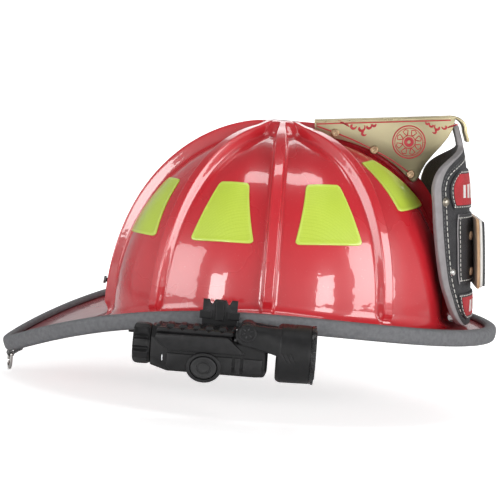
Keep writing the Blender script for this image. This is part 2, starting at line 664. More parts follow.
def shell_rows():
    base = rib_offsets(100.0)
    ncol = len(base)
    rows_n = len(mer(0.0))
    grid = []
    quarter = {}
    for i in range(8):
        for c in range(ncol):
            thg = i * PI / 4 + base[c][0]
            mg = mer(thg)
            col = []
            for k in range(rows_n):
                off, d, b = rib_offsets(mg[k][0])[c]
                th = i * PI / 4 + off
                r, z, nr, nz, fade = mer(th)[k]
                h = 10.5 if k == 0 else shell_height(r, z, d, i, b, fade)
                rr = r + nr * h
                col.append((CX + rr * math.cos(th), rr * math.sin(th), z + nz * h))
            grid.append(col)
    return grid


SG = shell_rows()
NCOL, NROW = len(SG), len(SG[0])


def inner_col(th):
    m = mer(th)
    out = []
    for k in range(len(m) - 1, -1, -2):
        r, z, nr, nz, fade = m[k]
        out.append((CX + (r - nr * SHELL_T) * math.cos(th), (r - nr * SHELL_T) * math.sin(th), z - nz * SHELL_T))
    return out


rows = []
for c in range(NCOL):
    col = list(SG[c])
    th = math.atan2(SG[c][-1][1], SG[c][-1][0] - CX)
    inn = inner_col(th)
    top, bot = Vector(col[-1]), Vector(inn[0])
    mid = [tuple(top.lerp(bot, t)) for t in (0.15, 0.5, 0.85)]
    rows.append(col + mid + inn)
g = Geo()
g.grid(rows, cu=True, cv=False)
nv = len(rows[0])
g.v.append((CX, 0.0, DOME_H + 10.55))
ci = len(g.v) - 1
for c in range(NCOL):
    g.f.append((c * nv, ((c + 1) % NCOL) * nv, ci))
    g.m.append(0)
g.v.append((CX, 0.0, DOME_H - SHELL_T))
cj = len(g.v) - 1
for c in range(NCOL):
    g.f.append((((c + 1) % NCOL) * nv + nv - 1, c * nv + nv - 1, cj))
    g.m.append(0)
M["red_in"] = material("shell_red_inside", (0.36, 0.014, 0.018, 1), (0.30, 0.012, 0.016, 1), (0.45, 0.6), nscale=60, bump=0.3, bscale=700)
g.m = []
no = len(SG[0]) + 3
for i in range(NCOL):
    for j in range(nv - 1):
        g.m.append(1 if j >= no else 0)
g.m += [0] * NCOL + [1] * NCOL
shell = g.obj("shell_skin", [M["red"], M["red_in"]], rep=("outer_shell",), slot="shell_red")

# ---------------------------------------------------------------- edge trim
def catmull(pts, n, closed=False):
    P = [Vector(p) for p in pts]
    out = []
    m = len(P)
    segs = m if closed else m - 1
    for i in range(segs):
        p1, p2 = P[i], P[(i + 1) % m]
        p0 = P[i - 1] if (closed or i > 0) else p1 + (p1 - p2)
        p3 = P[(i + 2) % m] if (closed or i + 2 < m) else p2 + (p2 - p1)
        for k in range(n):
            t = k / n
            out.append(tuple(0.5 * ((2 * p1) + (-p0 + p2) * t + (2 * p0 - 5 * p1 + 4 * p2 - p3) * t * t + (-p0 + 3 * p1 - 3 * p2 + p3) * t ** 3)))
    if not closed:
        out.append(tuple(P[-1]))
    return out


outer_sec = catmull([(-6.0, -2.15), (-6.25, -3.4), (-6.0, -4.7), (-4.9, -5.9), (-2.6, -6.3), (-0.4, -6.15), (1.7, -5.2), (2.8, -3.2),
                     (3.05, 0.0), (2.8, 3.2), (1.7, 5.2), (-0.4, 6.15), (-2.6, 6.3), (-4.9, 5.9), (-6.0, 4.7), (-6.25, 3.4), (-6.0, 2.15)], 3)
sec = outer_sec + [(-4.0, 2.05), (-1.5, 2.05), (0.9, 2.05), (1.2, 0.0), (0.9, -2.05), (-1.5, -2.05), (-4.0, -2.05)]
NT = 288
trows = []
for c in range(NT):
    th = 2 * PI * c / NT
    m = mer(th)
    er, ez = m[-1][0], m[-1][1] - SHELL_T / 2.0
    nr, nz = m[-1][2], m[-1][3]
    ux, uz = nz, -nr
    row = []
    for a, b in sec:
        w = 0.10 * math.sin(th * 37.0) + 0.07 * math.sin(th * 71.0 + 1.0)
        k = 1.0 + 0.012 * w
        r = er + a * ux * k + b * nr * k
        z = ez + a * uz * k + b * nz * k
        row.append((CX + r * math.cos(th), r * math.sin(th), z))
    trows.append(row)
g = Geo()
g.grid(trows, cu=True, cv=True)
g.obj("edge_trim_bead", M["trim"], rep=("edge_trim",), slot="trim_grey")

# ---------------------------------------------------------------- reflective patches
QUADS = [[(196.0, 105.8), (211.0, 106.3), (216.0, 63.4), (186.8, 61.0)],
         [(238.0, 109.0), (254.5, 109.6), (262.0, 67.0), (234.0, 64.7)],
         [(286.0, 111.7), (304.0, 113.5), (308.0, 70.9), (279.5, 68.5)],
         [(327.0, 130.0), (338.5, 131.3), (353.3, 100.0), (328.5, 95.7)]]


def round_rect(ru, rv, n=7):
    """outline of the unit square with rounded corners, centred on the origin, half size 1"""
    out = []
    for cx, cy, a0 in ((1, 1, 0), (-1, 1, 90), (-1, -1, 180), (1, -1, 270)):
        for k in range(n):
            a = math.radians(a0 + 90.0 * k / (n - 1))
            out.append((cx * (1 - ru) + ru * math.cos(a), cy * (1 - rv) + rv * math.sin(a)))
        # straight side points are added by the caller through subdivision
    res = []
    m = len(out)
    for i in range(m):
        a, b = out[i], out[(i + 1) % m]
        d = math.hypot(b[0] - a[0], b[1] - a[1])
        ns = max(1, int(d / 0.16))
        for k in range(ns):
            t = k / ns
            res.append((a[0] + (b[0] - a[0]) * t, a[1] + (b[1] - a[1]) * t))
    return res


def patch_mesh(fn, ru, rv, lo, hi, border=0.085, rim=0.16, geo=None, mats=(0, 1), flat=0.0):
    """fn(u, v, off) -> point, u and v in -1..1"""
    geo = geo or Geo()
    base = round_rect(ru, rv)
    n = len(base)
    rings = []

    def ring(s, off, su=None):
        return [fn(p[0] * s, p[1] * (su or s), off) for p in base]
    rings.append((ring(0.5, lo), mats[1]))
    rings.append((ring(1.0, lo), mats[1]))
    rings.append((ring(1.0, lo + (hi - lo) * 0.55), mats[1]))
    rings.append((ring(0.992, hi - 0.02), mats[1]))
    rings.append((ring(0.98, hi + rim * 0.6), mats[1]))
    rings.append((ring(1 - border * 0.55, hi + rim), mats[1]))
    rings.append((ring(1 - border, hi + rim * 0.7), mats[1]))
    rings.append((ring(1 - border * 1.18, hi), mats[0]))
    for s in (0.78, 0.64, 0.5, 0.36, 0.22, 0.1):
        rings.append((ring(s, hi + flat), mats[0]))
    b0 = len(geo.v)
    for r, _ in rings:
        geo.v += [tuple(p) for p in r]
    for i in range(len(rings) - 1):
        for k in range(n):
            a = b0 + i * n + k
            b = b0 + i * n + (k + 1) % n
            geo.f.append((a, b, b + n, a + n))
            geo.m.append(rings[i + 1][1] if i < 6 else rings[i][1] if i > 7 else rings[i + 1][1])
    geo.v.append(tuple(fn(0, 0, hi + flat)))
    ce = len(geo.v) - 1
    geo.v.append(tuple(fn(0, 0, lo)))
    cl = len(geo.v) - 1
    L = len(rings) - 1
    for k in range(n):
        geo.f.append((b0 + L * n + k, b0 + L * n + (k + 1) % n, ce))
        geo.m.append(mats[0])
        geo.f.append((b0 + (k + 1) % n, b0 + k, cl))
        geo.m.append(mats[1])
    return geo


g = Geo()
for q in QUADS:
    for side in (1, -1):
        def fn(u, v, off, q=q, side=side):
            u2, v2 = (u + 1) / 2, (1 - v) / 2
            t0 = q[0][0] + (q[1][0] - q[0][0]) * u2
            t1 = q[3][0] + (q[2][0] - q[3][0]) * u2
            z0 = q[0][1] + (q[1][1] - q[0][1]) * u2
            z1 = q[3][1] + (q[2][1] - q[3][1]) * u2
            th = math.radians(t0 + (t1 - t0) * v2)
            th = th if side > 0 else 2 * PI - th
            return panel_pt(th, z0 + (z1 - z0) * v2, off)
        patch_mesh(fn, 0.17, 0.14, 0.12, 0.85, geo=g)
g.obj("reflective_sheets", [M["reflex"], M["reflex_edge"]], rep=("reflective_patches",), slot="reflex_yellow")

# ---------------------------------------------------------------- holder: inlay lines, scrolls and rosettes on both flanks
HOLDER_Y = 11.2


def comb_seat(deg, depth):
    r, z, nr, nz = dome(0.0, math.radians(deg))
    h = rib_height(0, z) - depth
    return CX + r + nr * h, z + nz * h


SEATS = [(37.7, 150.9), (69.4, 140.0), (99.7, 123.2)]


def htop(x):
    return 159.9 + (x - 21.0) * (171.5 - 159.9) / 108.0


def flank_ribbon(geo, pts, w, side, h=0.28, mat=0):
    """flat raised line on the flank; pts (x, z), widths may taper"""
    n = len(pts)
    rows_ = []
    for i in range(n):
        x, z = pts[i]
        x0, z0 = pts[max(0, i - 1)]
        x1, z1 = pts[min(n - 1, i + 1)]
        L = math.hypot(x1 - x0, z1 - z0) or 1.0
        px, pz = -(z1 - z0) / L, (x1 - x0) / L
        ww = (w[i] if isinstance(w, (list, tuple)) else w) / 2
        y0, y1 = side * (HOLDER_Y - 0.15), side * (HOLDER_Y + h)
        y2 = side * (HOLDER_Y + h * 0.6)
        rows_.append([(x - px * ww, y0, z - pz * ww), (x - px * ww, y2, z - pz * ww), (x - px * ww * 0.6, y1, z - pz * ww * 0.6),
                      (x + px * ww * 0.6, y1, z + pz * ww * 0.6), (x + px * ww, y2, z + pz * ww), (x + px * ww, y0, z + pz * ww)])
    geo.grid(rows_, cu=False, cv=True, cap0=True, cap1=True, mat=mat)


def arc(cx, cz, r0, a0, a1, n=14, r1=None):
    r1 = r0 if r1 is None else r1
    return [(cx + (r0 + (r1 - r0) * k / n) * math.cos(math.radians(a0 + (a1 - a0) * k / n)),
             cz + (r0 + (r1 - r0) * k / n) * math.sin(math.radians(a0 + (a1 - a0) * k / n))) for k in range(n + 1)]


def taper(n, w, t=0.3):
    return [w * (t + (1 - t) * math.sin(PI * min(1.0, 0.12 + 0.88 * (1 - k / n)) / 2)) for k in range(n + 1)]


EMB = (96.2, 148.4)
inl, emb = Geo(), Geo()
for side in (-1, 1):
    # fine line that follows the lower edge through the screws
    low = catmull([(23.0, 155.2, 0), (37.7, 151.2, 0), (54.0, 146.0, 0), (69.4, 139.8, 0), (85.0, 132.6, 0), (99.0, 124.0, 0)], 8)
    flank_ribbon(inl, [(p[0], p[1]) for p in low], 1.05, side)
    top_line = [(22.5 + (127.5 - 22.5) * k / 30, htop(22.5 + (127.5 - 22.5) * k / 30) - 3.3) for k in range(31)]
    flank_ribbon(inl, top_line, 1.0, side)
    # leafy scrolls at both ends of the flank
    for cx, cz, f, k0 in ((57.5, 156.4, 1, 1.12), (118.0, 161.6, -1, 0.95)):
        for q, (dx, dz, s0, a0, sw) in enumerate(((0.0, 0.0, 3.3, 150, 250), (5.2, 1.6, 2.5, 170, 230), (-5.6, 1.0, 2.6, 120, 240), (8.9, 3.1, 1.7, 170, 220), (2.4, -3.4, 2.0, 100, 240))):
            a = arc(cx + f * dx * k0, cz + dz * k0, 0.4 * k0, a0 * f if f > 0 else 180 - a0, (a0 + sw) if f > 0 else 180 - a0 - sw, 20, s0 * k0)
            flank_ribbon(inl, a, [1.9 * k0 * (0.35 + 0.65 * math.sin(PI * min(1.0, 0.15 + 0.85 * i / 20))) for i in range(21)], side)
        for q in range(4):
            x0, z0 = cx + f * (-8.0 - 1.6 * q) * k0, cz + (0.2 + 0.7 * q) * k0
            flank_ribbon(inl, [(x0, z0), (x0 - f * 1.6 * k0, z0 + 1.2 * k0), (x0 - f * 3.4 * k0, z0 + 1.5 * k0)], [0.5, 1.6 * k0, 0.4], side)
    # line-drawn rosette: rings and eight rays
    for R_, w_ in ((12.7, 1.0), (11.0, 0.6), (5.0, 0.7)):
        flank_ribbon(inl, [(EMB[0] + R_ * math.cos(2 * PI * k / 56), EMB[1] + R_ * math.sin(2 * PI * k / 56)) for k in range(57)], w_, side)
    for k in range(8):
        a = 2 * PI * (k + 0.5) / 8
        ca, sa = math.cos(a), math.sin(a)
        pts = []
        for rr, ww in ((5.6, 0.5), (7.4, 1.5), (9.0, 2.2), (10.2, 0.2), (9.0, -2.2), (7.4, -1.5), (5.6, -0.5), (5.6, 0.5)):
            pts.append((EMB[0] + rr * ca + sa * ww, EMB[1] + rr * sa - ca * ww))
        flank_ribbon(inl, pts, 0.75, side)
    disc = [(side * (HOLDER_Y - 0.15), 3.9), (side * (HOLDER_Y + 0.2), 3.9), (side * (HOLDER_Y + 0.3), 3.6), (side * (HOLDER_Y + 0.3), 1.5), (side * (HOLDER_Y + 0.1), 1.3), (side * (HOLDER_Y - 0.15), 1.3)]
    inl.grid([[(EMB[0] + rr * math.cos(2 * PI * k / 40), yy, EMB[1] + rr * math.sin(2 * PI * k / 40)) for yy, rr in disc] for k in range(40)], cu=True, cv=True)
    # thin rolled border bead along the flank outline
    bead = catmull([(21.6, 158.3, 0), (60.0, 162.4, 0), (127.0, 169.6, 0)], 10)
    flank_ribbon(emb, [(p[0], p[1]) for p in bead], 0.9, side, h=0.3)
inl.obj("holder_inlay", M["inlay"], slot="shell_red")
emb.obj("holder_border", M["brass_edge"], slot="brass", auto=40)

# ---------------------------------------------------------------- leather shield
SH_R = 75.0
XC_T = [(9.5, 157.6), (20.0, 157.0), (39.0, 155.5), (66.0, 153.2), (94.0, 150.0), (120.0, 146.0), (140.0, 142.0), (152.0, 138.8), (164.5, 134.4)]
W_T = [(9.5, 34.0), (11.5, 39.0), (15.5, 44.0), (21.5, 48.5), (28.5, 51.8), (46.0, 57.4), (70.0, 60.3), (90.0, 61.2), (115.0, 61.0),
       (124.0, 58.8), (131.0, 54.5), (137.0, 46.0), (142.0, 33.0), (145.5, 20.0), (148.0, 10.2), (152.0, 8.6), (158.0, 8.6), (164.5, 8.0)]


def hermite(tab):
    xs = [a for a, _ in tab]
    ys = [b for _, b in tab]
    n = len(xs)
    d = [(ys[i + 1] - ys[i]) / (xs[i + 1] - xs[i]) for i in range(n - 1)]
    m = [d[0]] + [0.0 if d[i - 1] * d[i] < 0 else 2 * d[i - 1] * d[i] / (d[i - 1] + d[i] + (1e-12 if d[i - 1] + d[i] == 0 else 0)) for i in range(1, n - 1)] + [d[-1]]

    def f(x):
        x = min(max(x, xs[0]), xs[-1])
        i = 0
        while i < n - 2 and x > xs[i + 1]:
            i += 1
        h = xs[i + 1] - xs[i]
        t = (x - xs[i]) / h
        return ((2 * t ** 3 - 3 * t ** 2 + 1) * ys[i] + (t ** 3 - 2 * t ** 2 + t) * h * m[i] + (-2 * t ** 3 + 3 * t ** 2) * ys[i + 1] + (t ** 3 - t ** 2) * h * m[i + 1])
    return f


xc_f, w_f = hermite(XC_T), hermite(W_T)


def shield_pt(y, z, off):
    a = math.asin(max(-0.98, min(0.98, y / SH_R)))
    x = xc_f(z) - SH_R * (1 - math.cos(a))
    return (x + off * math.cos(a), y + off * math.sin(a), z)


def flat_pt(y, z, off):
    return (xc_f(z) + off, y, z)


def leather_sheet(geo, zs, wf, off0, off1, mats=(0, 1), r=None, nu=26, warp=0.0, band=0.0, shield_pt=shield_pt):
    """closed sheet with rounded edges; wf(z) -> half width"""
    t = off1 - off0
    r = r if r is not None else t * 0.42
    z0, z1 = zs[0], zs[-1]
    rows_ = []
    mm = []
    for z in zs:
        e = min(z - z0, z1 - z)
        sh = 0.0
        if e < r:
            sh = r - math.sqrt(max(0.0, r * r - (r - e) ** 2))
        w = wf(z)
        row = []
        fr = [(-1 + 2 * k / (nu - 1)) for k in range(nu)]
        A = off1 - sh
        B = off0 + sh
        mid = (off0 + off1) / 2
        if A < mid:
            A = mid + 0.02
        if B > mid:
            B = mid - 0.02
        if band:
            q_ = 1 - band / max(w - r, band * 1.6)
            fr = [-1.0] + [(-1 + 2 * k / (nu - 3)) * q_ for k in range(nu - 2)] + [1.0]
        for f in fr:
            y = f * (w - r)
            wv = warp * noise.noise(Vector((y * 0.05, z * 0.05, off0)))
            row.append(shield_pt(y, z, A + wv))
        rad = r
        for q in (30, 60, 90):
            a = math.radians(q)
            row.append(shield_pt(w - r + rad * math.sin(a), z, A - (1 - math.cos(a)) * min(r, (A - B) / 2)))
        for q in (90, 60, 30):
            a = math.radians(q)
            row.append(shield_pt(w - r + rad * math.sin(a), z, B + (1 - math.cos(a)) * min(r, (A - B) / 2)))
        for f in reversed(fr):
            y = f * (w - r)
            row.append(shield_pt(y, z, B))
        for q in (30, 60, 90):
            a = math.radians(q)
            row.append(shield_pt(-(w - r + rad * math.sin(a)), z, B + (1 - math.cos(a)) * min(r, (A - B) / 2)))
        for q in (90, 60, 30):
            a = math.radians(q)
            row.append(shield_pt(-(w - r + rad * math.sin(a)), z, A - (1 - math.cos(a)) * min(r, (A - B) / 2)))
        rows_.append(row)
    b0 = len(geo.f)
    geo.grid(rows_, cv=True, cap0=True, cap1=True, mat=mats[0])
    n = len(rows_[0])
    for i in range(len(rows_) - 1):
        for j in range(n):
            edge = nu - 1 <= j < nu + 6 or 2 * nu + 5 <= j < n or (band and j in (0, nu - 2))
            if edge or i == 0 or i == len(rows_) - 2:
                geo.m[b0 + i * n + j] = mats[1]
    geo.m[b0 + (len(rows_) - 1) * n] = mats[1]
    geo.m[b0 + (len(rows_) - 1) * n + 1] = mats[1]


def zlist(z0, z1, n, e=1.2):
    mid = [z0 + e + (z1 - z0 - 2 * e) * k / (n - 1) for k in range(n)]
    return [z0, z0 + e * 0.12, z0 + e * 0.4, z0 + e * 0.7] + mid + [z1 - e * 0.7, z1 - e * 0.4, z1 - e * 0.12, z1]


g = Geo()
leather_sheet(g, zlist(9.5, 164.5, 74, 1.9), w_f, -4.6, 0.0, r=0.9, nu=36, band=3.4)
g.obj("shield_leather", [M["leather"], M["leather_edge"]], rep=("shield_base",), slot="black_leather")


def edge_outline(z0, z1, wf, inset, step, closed=True):
    """polyline (y, z) inset from the outline z0..z1, |y| = wf(z)"""
    right = []
    n = 240
    for k in range(n + 1):
        z = z0 + (z1 - z0) * k / n
        right.append((wf(z), z))
    pts = [(0.0, z0)] + right + [(0.0, z1)]
    # inset by moving along the polygon normal
    out = []
    for i in range(len(pts)):
        a = pts[max(0, i - 1)]
        b = pts[min(len(pts) - 1, i + 1)]
        L = math.hypot(b[0] - a[0], b[1] - a[1]) or 1
        nx, nz = (b[1] - a[1]) / L, -(b[0] - a[0]) / L
        out.append((pts[i][0] - nx * inset, pts[i][1] - nz * inset))
    out = [(max(0.0, y), min(max(z, z0 + inset), z1 - inset)) for y, z in out]
    full = out + [(-y, z) for y, z in reversed(out)]
    # resample at equal steps
    res = []
    acc = 0.0
    for i in range(len(full) - 1):
        a, b = full[i], full[i + 1]
        L = math.hypot(b[0] - a[0], b[1] - a[1])
        while acc <= L and L > 1e-9:
            t = acc / L
            res.append((a[0] + (b[0] - a[0]) * t, a[1] + (b[1] - a[1]) * t, (b[0] - a[0]) / L, (b[1] - a[1]) / L))
            acc += step
        acc -= L
    return res


def stitch_row(geo, line, off, l, w=0.75, h=0.5, mat=0, keep=None, shield_pt=shield_pt):
    for y, z, dy, dz in line:
        if keep and not keep(y, z):
            continue
        p = Vector(shield_pt(y, z, off))
        q = Vector(shield_pt(y + dy * 0.5, z + dz * 0.5, off))
        a = math.asin(max(-0.98, min(0.98, y / SH_R))) if shield_pt is not flat_pt else 0.0
        geo.capsule(p, q - p, (math.cos(a), math.sin(a), 0), l, w, h, mat)


st = Geo()
sd = Geo()
# border stitching round the big leather
stitch_row(st, edge_outline(9.5, 148.0, w_f, 7.4, 4.4), 0.18, 3.4, 0.95, 0.55, keep=lambda y, z: z < 143.5)
stitch_row(sd, edge_outline(9.5, 148.0, w_f, 5.4, 3.2), 0.10, 2.2, 0.5, 0.35, keep=lambda y, z: z < 141.0)

cp_w = hermite([(43, 43), (50, 44.5), (60, 45), (80, 45), (90, 44.5), (97, 43)])
g = Geo()
leather_sheet(g, zlist(43, 97, 26, 0.6), cp_w, 0.25, 1.45, r=0.55)
g.obj("shield_panel", [M["leather"], M["leather_edge"]], rep=("shield_center_panel",), slot="black_leather")
stitch_row(st, edge_outline(43, 97, cp_w, 2.6, 3.6), 1.62, 2.7)

ub_w = hermite([(101, 47), (106, 49), (112, 50), (118, 49.5), (124, 46), (128, 41), (131, 35)])
lb_w = hermite([(14.5, 31), (17.5, 36), (22, 39.5), (27, 41.5), (32, 42.5), (35.5, 42.5)])


def banner(name, node, z0, z1, wf, hi, slot):
    g = Geo()
    leather_sheet(g, zlist(z0, z1, 14, 0.7), wf, 0.25, hi - 0.35, r=0.5, mats=(0, 0))
    g.obj(name, [M["leather"]], rep=(node,), slot=slot)
    f = Geo()
    ins = 3.0

    def wi(z):
        return max(4.0, wf(z) - ins)
    leather_sheet(f, zlist(z0 + ins, z1 - ins, 12, 0.5), wi, hi - 0.34, hi, r=0.15, mats=(0, 0))
    f.obj(name + "_field", [M["leather_red"]], slot="red_leather")
    return wi


wi_u = banner("upper_banner", "shield_upper_banner", 101, 131, ub_w, 1.75, "black_leather")
wi_l = banner("lower_banner", "shield_lower_banner", 14.5, 35.5, lb_w, 1.75, "black_leather")
stitch_row(st, edge_outline(101, 131, ub_w, 1.7, 3.2), 1.5, 2.5, 0.8, 0.45)
stitch_row(st, edge_outline(14.5, 35.5, lb_w, 1.7, 3.2), 1.5, 2.5, 0.8, 0.45)

# plain raised bars on the banners in place of wording
g = Geo()


def bar(geo, y0, y1, z0, z1, lo, hi, n=10, mat=0, slant=0.0):
    F = []
    for k in range(n):
        y = y0 + (y1 - y0) * k / (n - 1)
        row = []
        for z, o in ((z0, lo), (z0, hi), (z1, hi), (z1, lo)):
            row.append(shield_pt(y + slant * (z - z0), z, o))
        F.append(row)
    geo.grid(F, cv=True, cap0=True, cap1=True, mat=mat)


for k in range(9):
    yc = -34 + 8.5 * k
    hgt = 6.5 + 1.2 * math.cos(yc / 22.0)
    bar(g, yc - 1.9, yc + 1.9, 114.5 - hgt * 0.75, 114.5 + hgt * 0.75, 1.7, 2.15, n=5, slant=0.18)
for k in range(7):
    yc = -25.5 + 8.5 * k
    bar(g, yc - 1.7, yc + 1.7, 20.5, 29.5, 1.7, 2.15, n=5, slant=0.18)
g.obj("banner_bars", M["leather_white"], slot="white_leather", auto=30)

# number plate: raw backing, black field, white frame and plain lozenge
bk_w = hermite([(39.5, 33), (42, 35.5), (50, 36), (66, 36), (82, 36), (91, 35.5), (94, 33)])
np_w = hermite([(40.5, 32), (43, 34.5), (50, 35), (66, 35), (82, 35), (90, 34.5), (93, 32)])
g = Geo()
leather_sheet(g, zlist(39.5, 94, 24, 1.0), bk_w, 1.6, 3.9, r=0.5, mats=(0, 0), shield_pt=flat_pt)
g.obj("plate_backing", [M["leather_tan"]], rep=("number_plate_backing",), slot="tan_leather")
g = Geo()
leather_sheet(g, zlist(40.5, 93, 24, 0.8), np_w, 4.1, 6.2, r=0.5, mats=(0, 0), shield_pt=flat_pt)
g.obj("plate_face", [M["leather_white"]], rep=("number_plate",), slot="white_leather")
f = Geo()


def np_in(z):
    return np_w(z) - 1.2


leather_sheet(f, zlist(41.6, 91.9, 20, 0.4), np_in, 6.25, 8.2, r=0.5, mats=(0, 0), shield_pt=flat_pt)
f.obj("plate_field", [M["leather"]], slot="black_leather")
stitch_row(st, edge_outline(41.6, 91.9, np_in, 2.2, 3.2), 8.3, 2.4, 0.7, 0.4, shield_pt=flat_pt)
f = Geo()
for k in range(3):
    # plain lozenges side by side
    yc = -19.0 + 19.0 * k
    hgt, wd = 14.0, 8.0
    loop_o = [(yc - wd, 66.7), (yc, 66.7 - hgt), (yc + wd, 66.7), (yc, 66.7 + hgt)]
    loop_i = [(yc + (y - yc) * 0.55, 66.7 + (z - 66.7) * 0.55) for y, z in loop_o]
    rows_ = []
    for (yo, zo), (yi, zi) in zip(loop_o, loop_i):
        rows_.append([flat_pt(yo, zo, 8.1), flat_pt(yo, zo, 8.6), flat_pt(yi, zi, 8.6), flat_pt(yi, zi, 8.1)])
    rr_ = []
    for i in range(4):
        a, b = rows_[i], rows_[(i + 1) % 4]
        for k2 in range(5):
            t = k2 / 5
            rr_.append([tuple(Vector(p).lerp(Vector(q), t)) for p, q in zip(a, b)])
    f.grid(rr_, cu=True, cv=True)
f.obj("plate_lozenges", M["leather_white"], slot="white_leather", auto=30)
st.obj("shield_stitches", M["thread"], slot="white_leather")
sd.obj("shield_tooling_stitches", M["thread_dark"], slot="black_leather")

# domed rivets with a small washer flange
g = Geo()
for side in (-1, 1):
    for y, z, r in ((side * 54.0, 106.5, 3.6), (side * 49.5, 52.5, 3.0)):
        p = Vector(shield_pt(y, z, 0.05))
        a = math.asin(y / SH_R)
        n = Vector((math.cos(a), math.sin(a), 0))
        prof = [(0.0, r * 1.0), (0.35, r * 1.02), (0.55, r * 0.94)]
        for k in range(1, 8):
            t = k / 7 * PI / 2
            prof.append((0.5 + r * 0.55 * math.sin(t), max(0.05, r * 0.9 * math.cos(t))))
        g.lathe(prof, p, n, 28, mat=0 if z > 80 else 1)
g.obj("shield_rivet_caps", [M["antique"], M["steel"]], rep=("shield_rivets",), slot="brass_screw", auto=50)

# ---------------------------------------------------------------- holder screws: slotted pan heads
g = Geo()
for sx, sz in SEATS:
    prof = [(0.0, 3.0), (0.5, 3.05), (1.1, 2.9), (1.6, 2.5), (1.95, 1.9), (2.0, 1.5), (1.35, 1.3), (1.3, 0.1)]
    g.lathe(prof, (sx, -HOLDER_Y - 0.05, sz), (0, -1, 0), 28)
    g.lathe([(0.0, 1.9), (1.0, 1.9), (1.35, 1.6), (1.5, 0.1)], (sx, HOLDER_Y + 2.4, sz), (0, 1, 0), 20)
g.obj("holder_screw_heads", M["brass_screw"], slot="brass_screw", auto=35)

# ---------------------------------------------------------------- soft goods and suspension
HB = (98.0, 77.0, 2.0)
NB = (84.0, 79.6, -20.0)
EP = (87.6, 87.2, -20.0)
CS = (84.4, 82.0, -20.0)


def plan_pt(kind, t, grow):
    a, b, cx = kind
    th = math.radians(t)
    x, y = a * math.cos(th), b * math.sin(th)
    nx, ny = math.cos(th) / a, math.sin(th) / b
    g_ = math.hypot(nx, ny)
    return cx + x + grow * nx / g_, y + grow * ny / g_


def path_pts(fn, n):
    return [fn(k / (n - 1)) for k in range(n)]


def inflate(o, pins, cap):
    """short cloth run under inner pressure; hems, seams and the side against the band stay put"""
    me = o.data
    base = [v.co.copy() for v in me.vertices]
    vg = o.vertex_groups.new(name="seams")
    for i, p in enumerate(base):
        w_ = pins.get((round(p.x * 1e5), round(p.y * 1e5), round(p.z * 1e5)), 1.0)
        if w_ > 0:
            vg.add([i], w_, "REPLACE")
    md = o.modifiers.new("cloth", "CLOTH")
    st_ = md.settings
    st_.quality = 6
    st_.mass = 0.05
    st_.tension_stiffness = 4.0
    st_.compression_stiffness = 2.0
    st_.shear_stiffness = 2.0
    st_.bending_stiffness = 0.05
    st_.air_damping = 2.0
    st_.use_pressure = True
    st_.uniform_pressure_force = 350.0
    st_.vertex_group_mass = "seams"
    st_.effector_weights.gravity = 0.0
    md.collision_settings.use_collision = False
    md.collision_settings.use_self_collision = False
    md.point_cache.frame_start = 1
    md.point_cache.frame_end = 20
    sc_ = bpy.context.scene
    for f_ in range(1, 21):
        sc_.frame_set(f_)
    dg_ = bpy.context.evaluated_depsgraph_get()
    ev = o.evaluated_get(dg_)
    out_ = [v.co.copy() for v in ev.data.vertices]
    o.modifiers.clear()
    o.vertex_groups.clear()
    sc_.frame_set(1)
    if len(out_) != len(base):
        return
    mv = 0.0
    for i, v in enumerate(me.vertices):
        d_ = out_[i] - base[i]
        if not (d_.length < 1.0):
            d_ = Vector((0, 0, 0))
        if d_.length > cap:
            d_ = d_ * (cap / d_.length)
        mv = max(mv, d_.length)
        v.co = base[i] + d_
    me.update()
    print("inflate", o.name, round(mv * 1000, 3))


def padded(name, kind, t0, t1, off, zfn, thick, n, node, mat, slot, quilts=0, body="helmet", puff=1.0, hem=0.9, nz=22, wrinkle=0.25, bulge_in=True, piping=None):
    """a stuffed strip along a plan curve: rounded hems, quilted channels, fine creases"""
    g = Geo()
    rows_ = []
    pins = {}
    for i in range(n):
        u = i / (n - 1)
        t = t0 + (t1 - t0) * u
        x0, y0 = plan_pt(kind, t, off)
        z0, z1 = zfn(x0)
        en = min(1.0, min(u, 1 - u) * (n - 1) / 4.0)
        endk = math.sqrt(max(0.0, 1 - (1 - en) ** 2))
        loop = []
        ns = nz
        for side in (0, 1):
            for j in range(ns):
                v = j / (ns - 1)
                if side:
                    v = 1 - v
                zz = z0 + (z1 - z0) * v
                prof = (1 - abs(2 * v - 1) ** 3.2)
                q = 1.0
                if quilts:
                    ch = abs(math.sin(PI * quilts * u))
                    q = 0.55 + 0.45 * min(1.0, ch * 2.2) ** 0.6
                wob = wrinkle * noise.noise(Vector((x0 * 0.09, y0 * 0.09, zz * 0.16 + 7 * side)))
                half = thick / 2 * (0.28 + 0.72 * prof * q) * endk + 0.12
                o = thick / 2 + (half + wob * prof * endk) * (1 if side == 0 else -1)
                x, y = plan_pt(kind, t, off + max(0.0, min(thick, o)))
                loop.append((x, y, zz))
                free = side == 1 and endk > 0.999 and prof > 0.45 and q > 0.86 and 0 < j < ns - 1
                pins[(round(x * 100), round(y * 100), round(zz * 100))] = 0.0 if free else 1.0
        rows_.append(loop)
    g.grid(rows_, cv=True, cap0=True, cap1=True)
    o = g.obj(name, mat, rep=(node,), slot=slot, body=body)
    inflate(o, pins, 0.0016)
    return o


brow = padded("brow_cushion", HB, -62, 62, -4.4, lambda x: (6.0, 31.0), 4.0, 150, "brow_pad", M["pad"], "pad_fabric", quilts=12)


def nape_z(x):
    k = smooth((-30.0 - x) / 62.0)
    return 4.0 - 22.0 * k, 22.0 - 20.0 * k


def pad_z(x):
    a, b = nape_z(x)
    return a + 2, b - 1.5


padded("nape_cushion", NB, 140, 220, -4.4, pad_z, 4.0, 90, "nape_pad", M["pad"], "pad_fabric", quilts=7, body="nape")

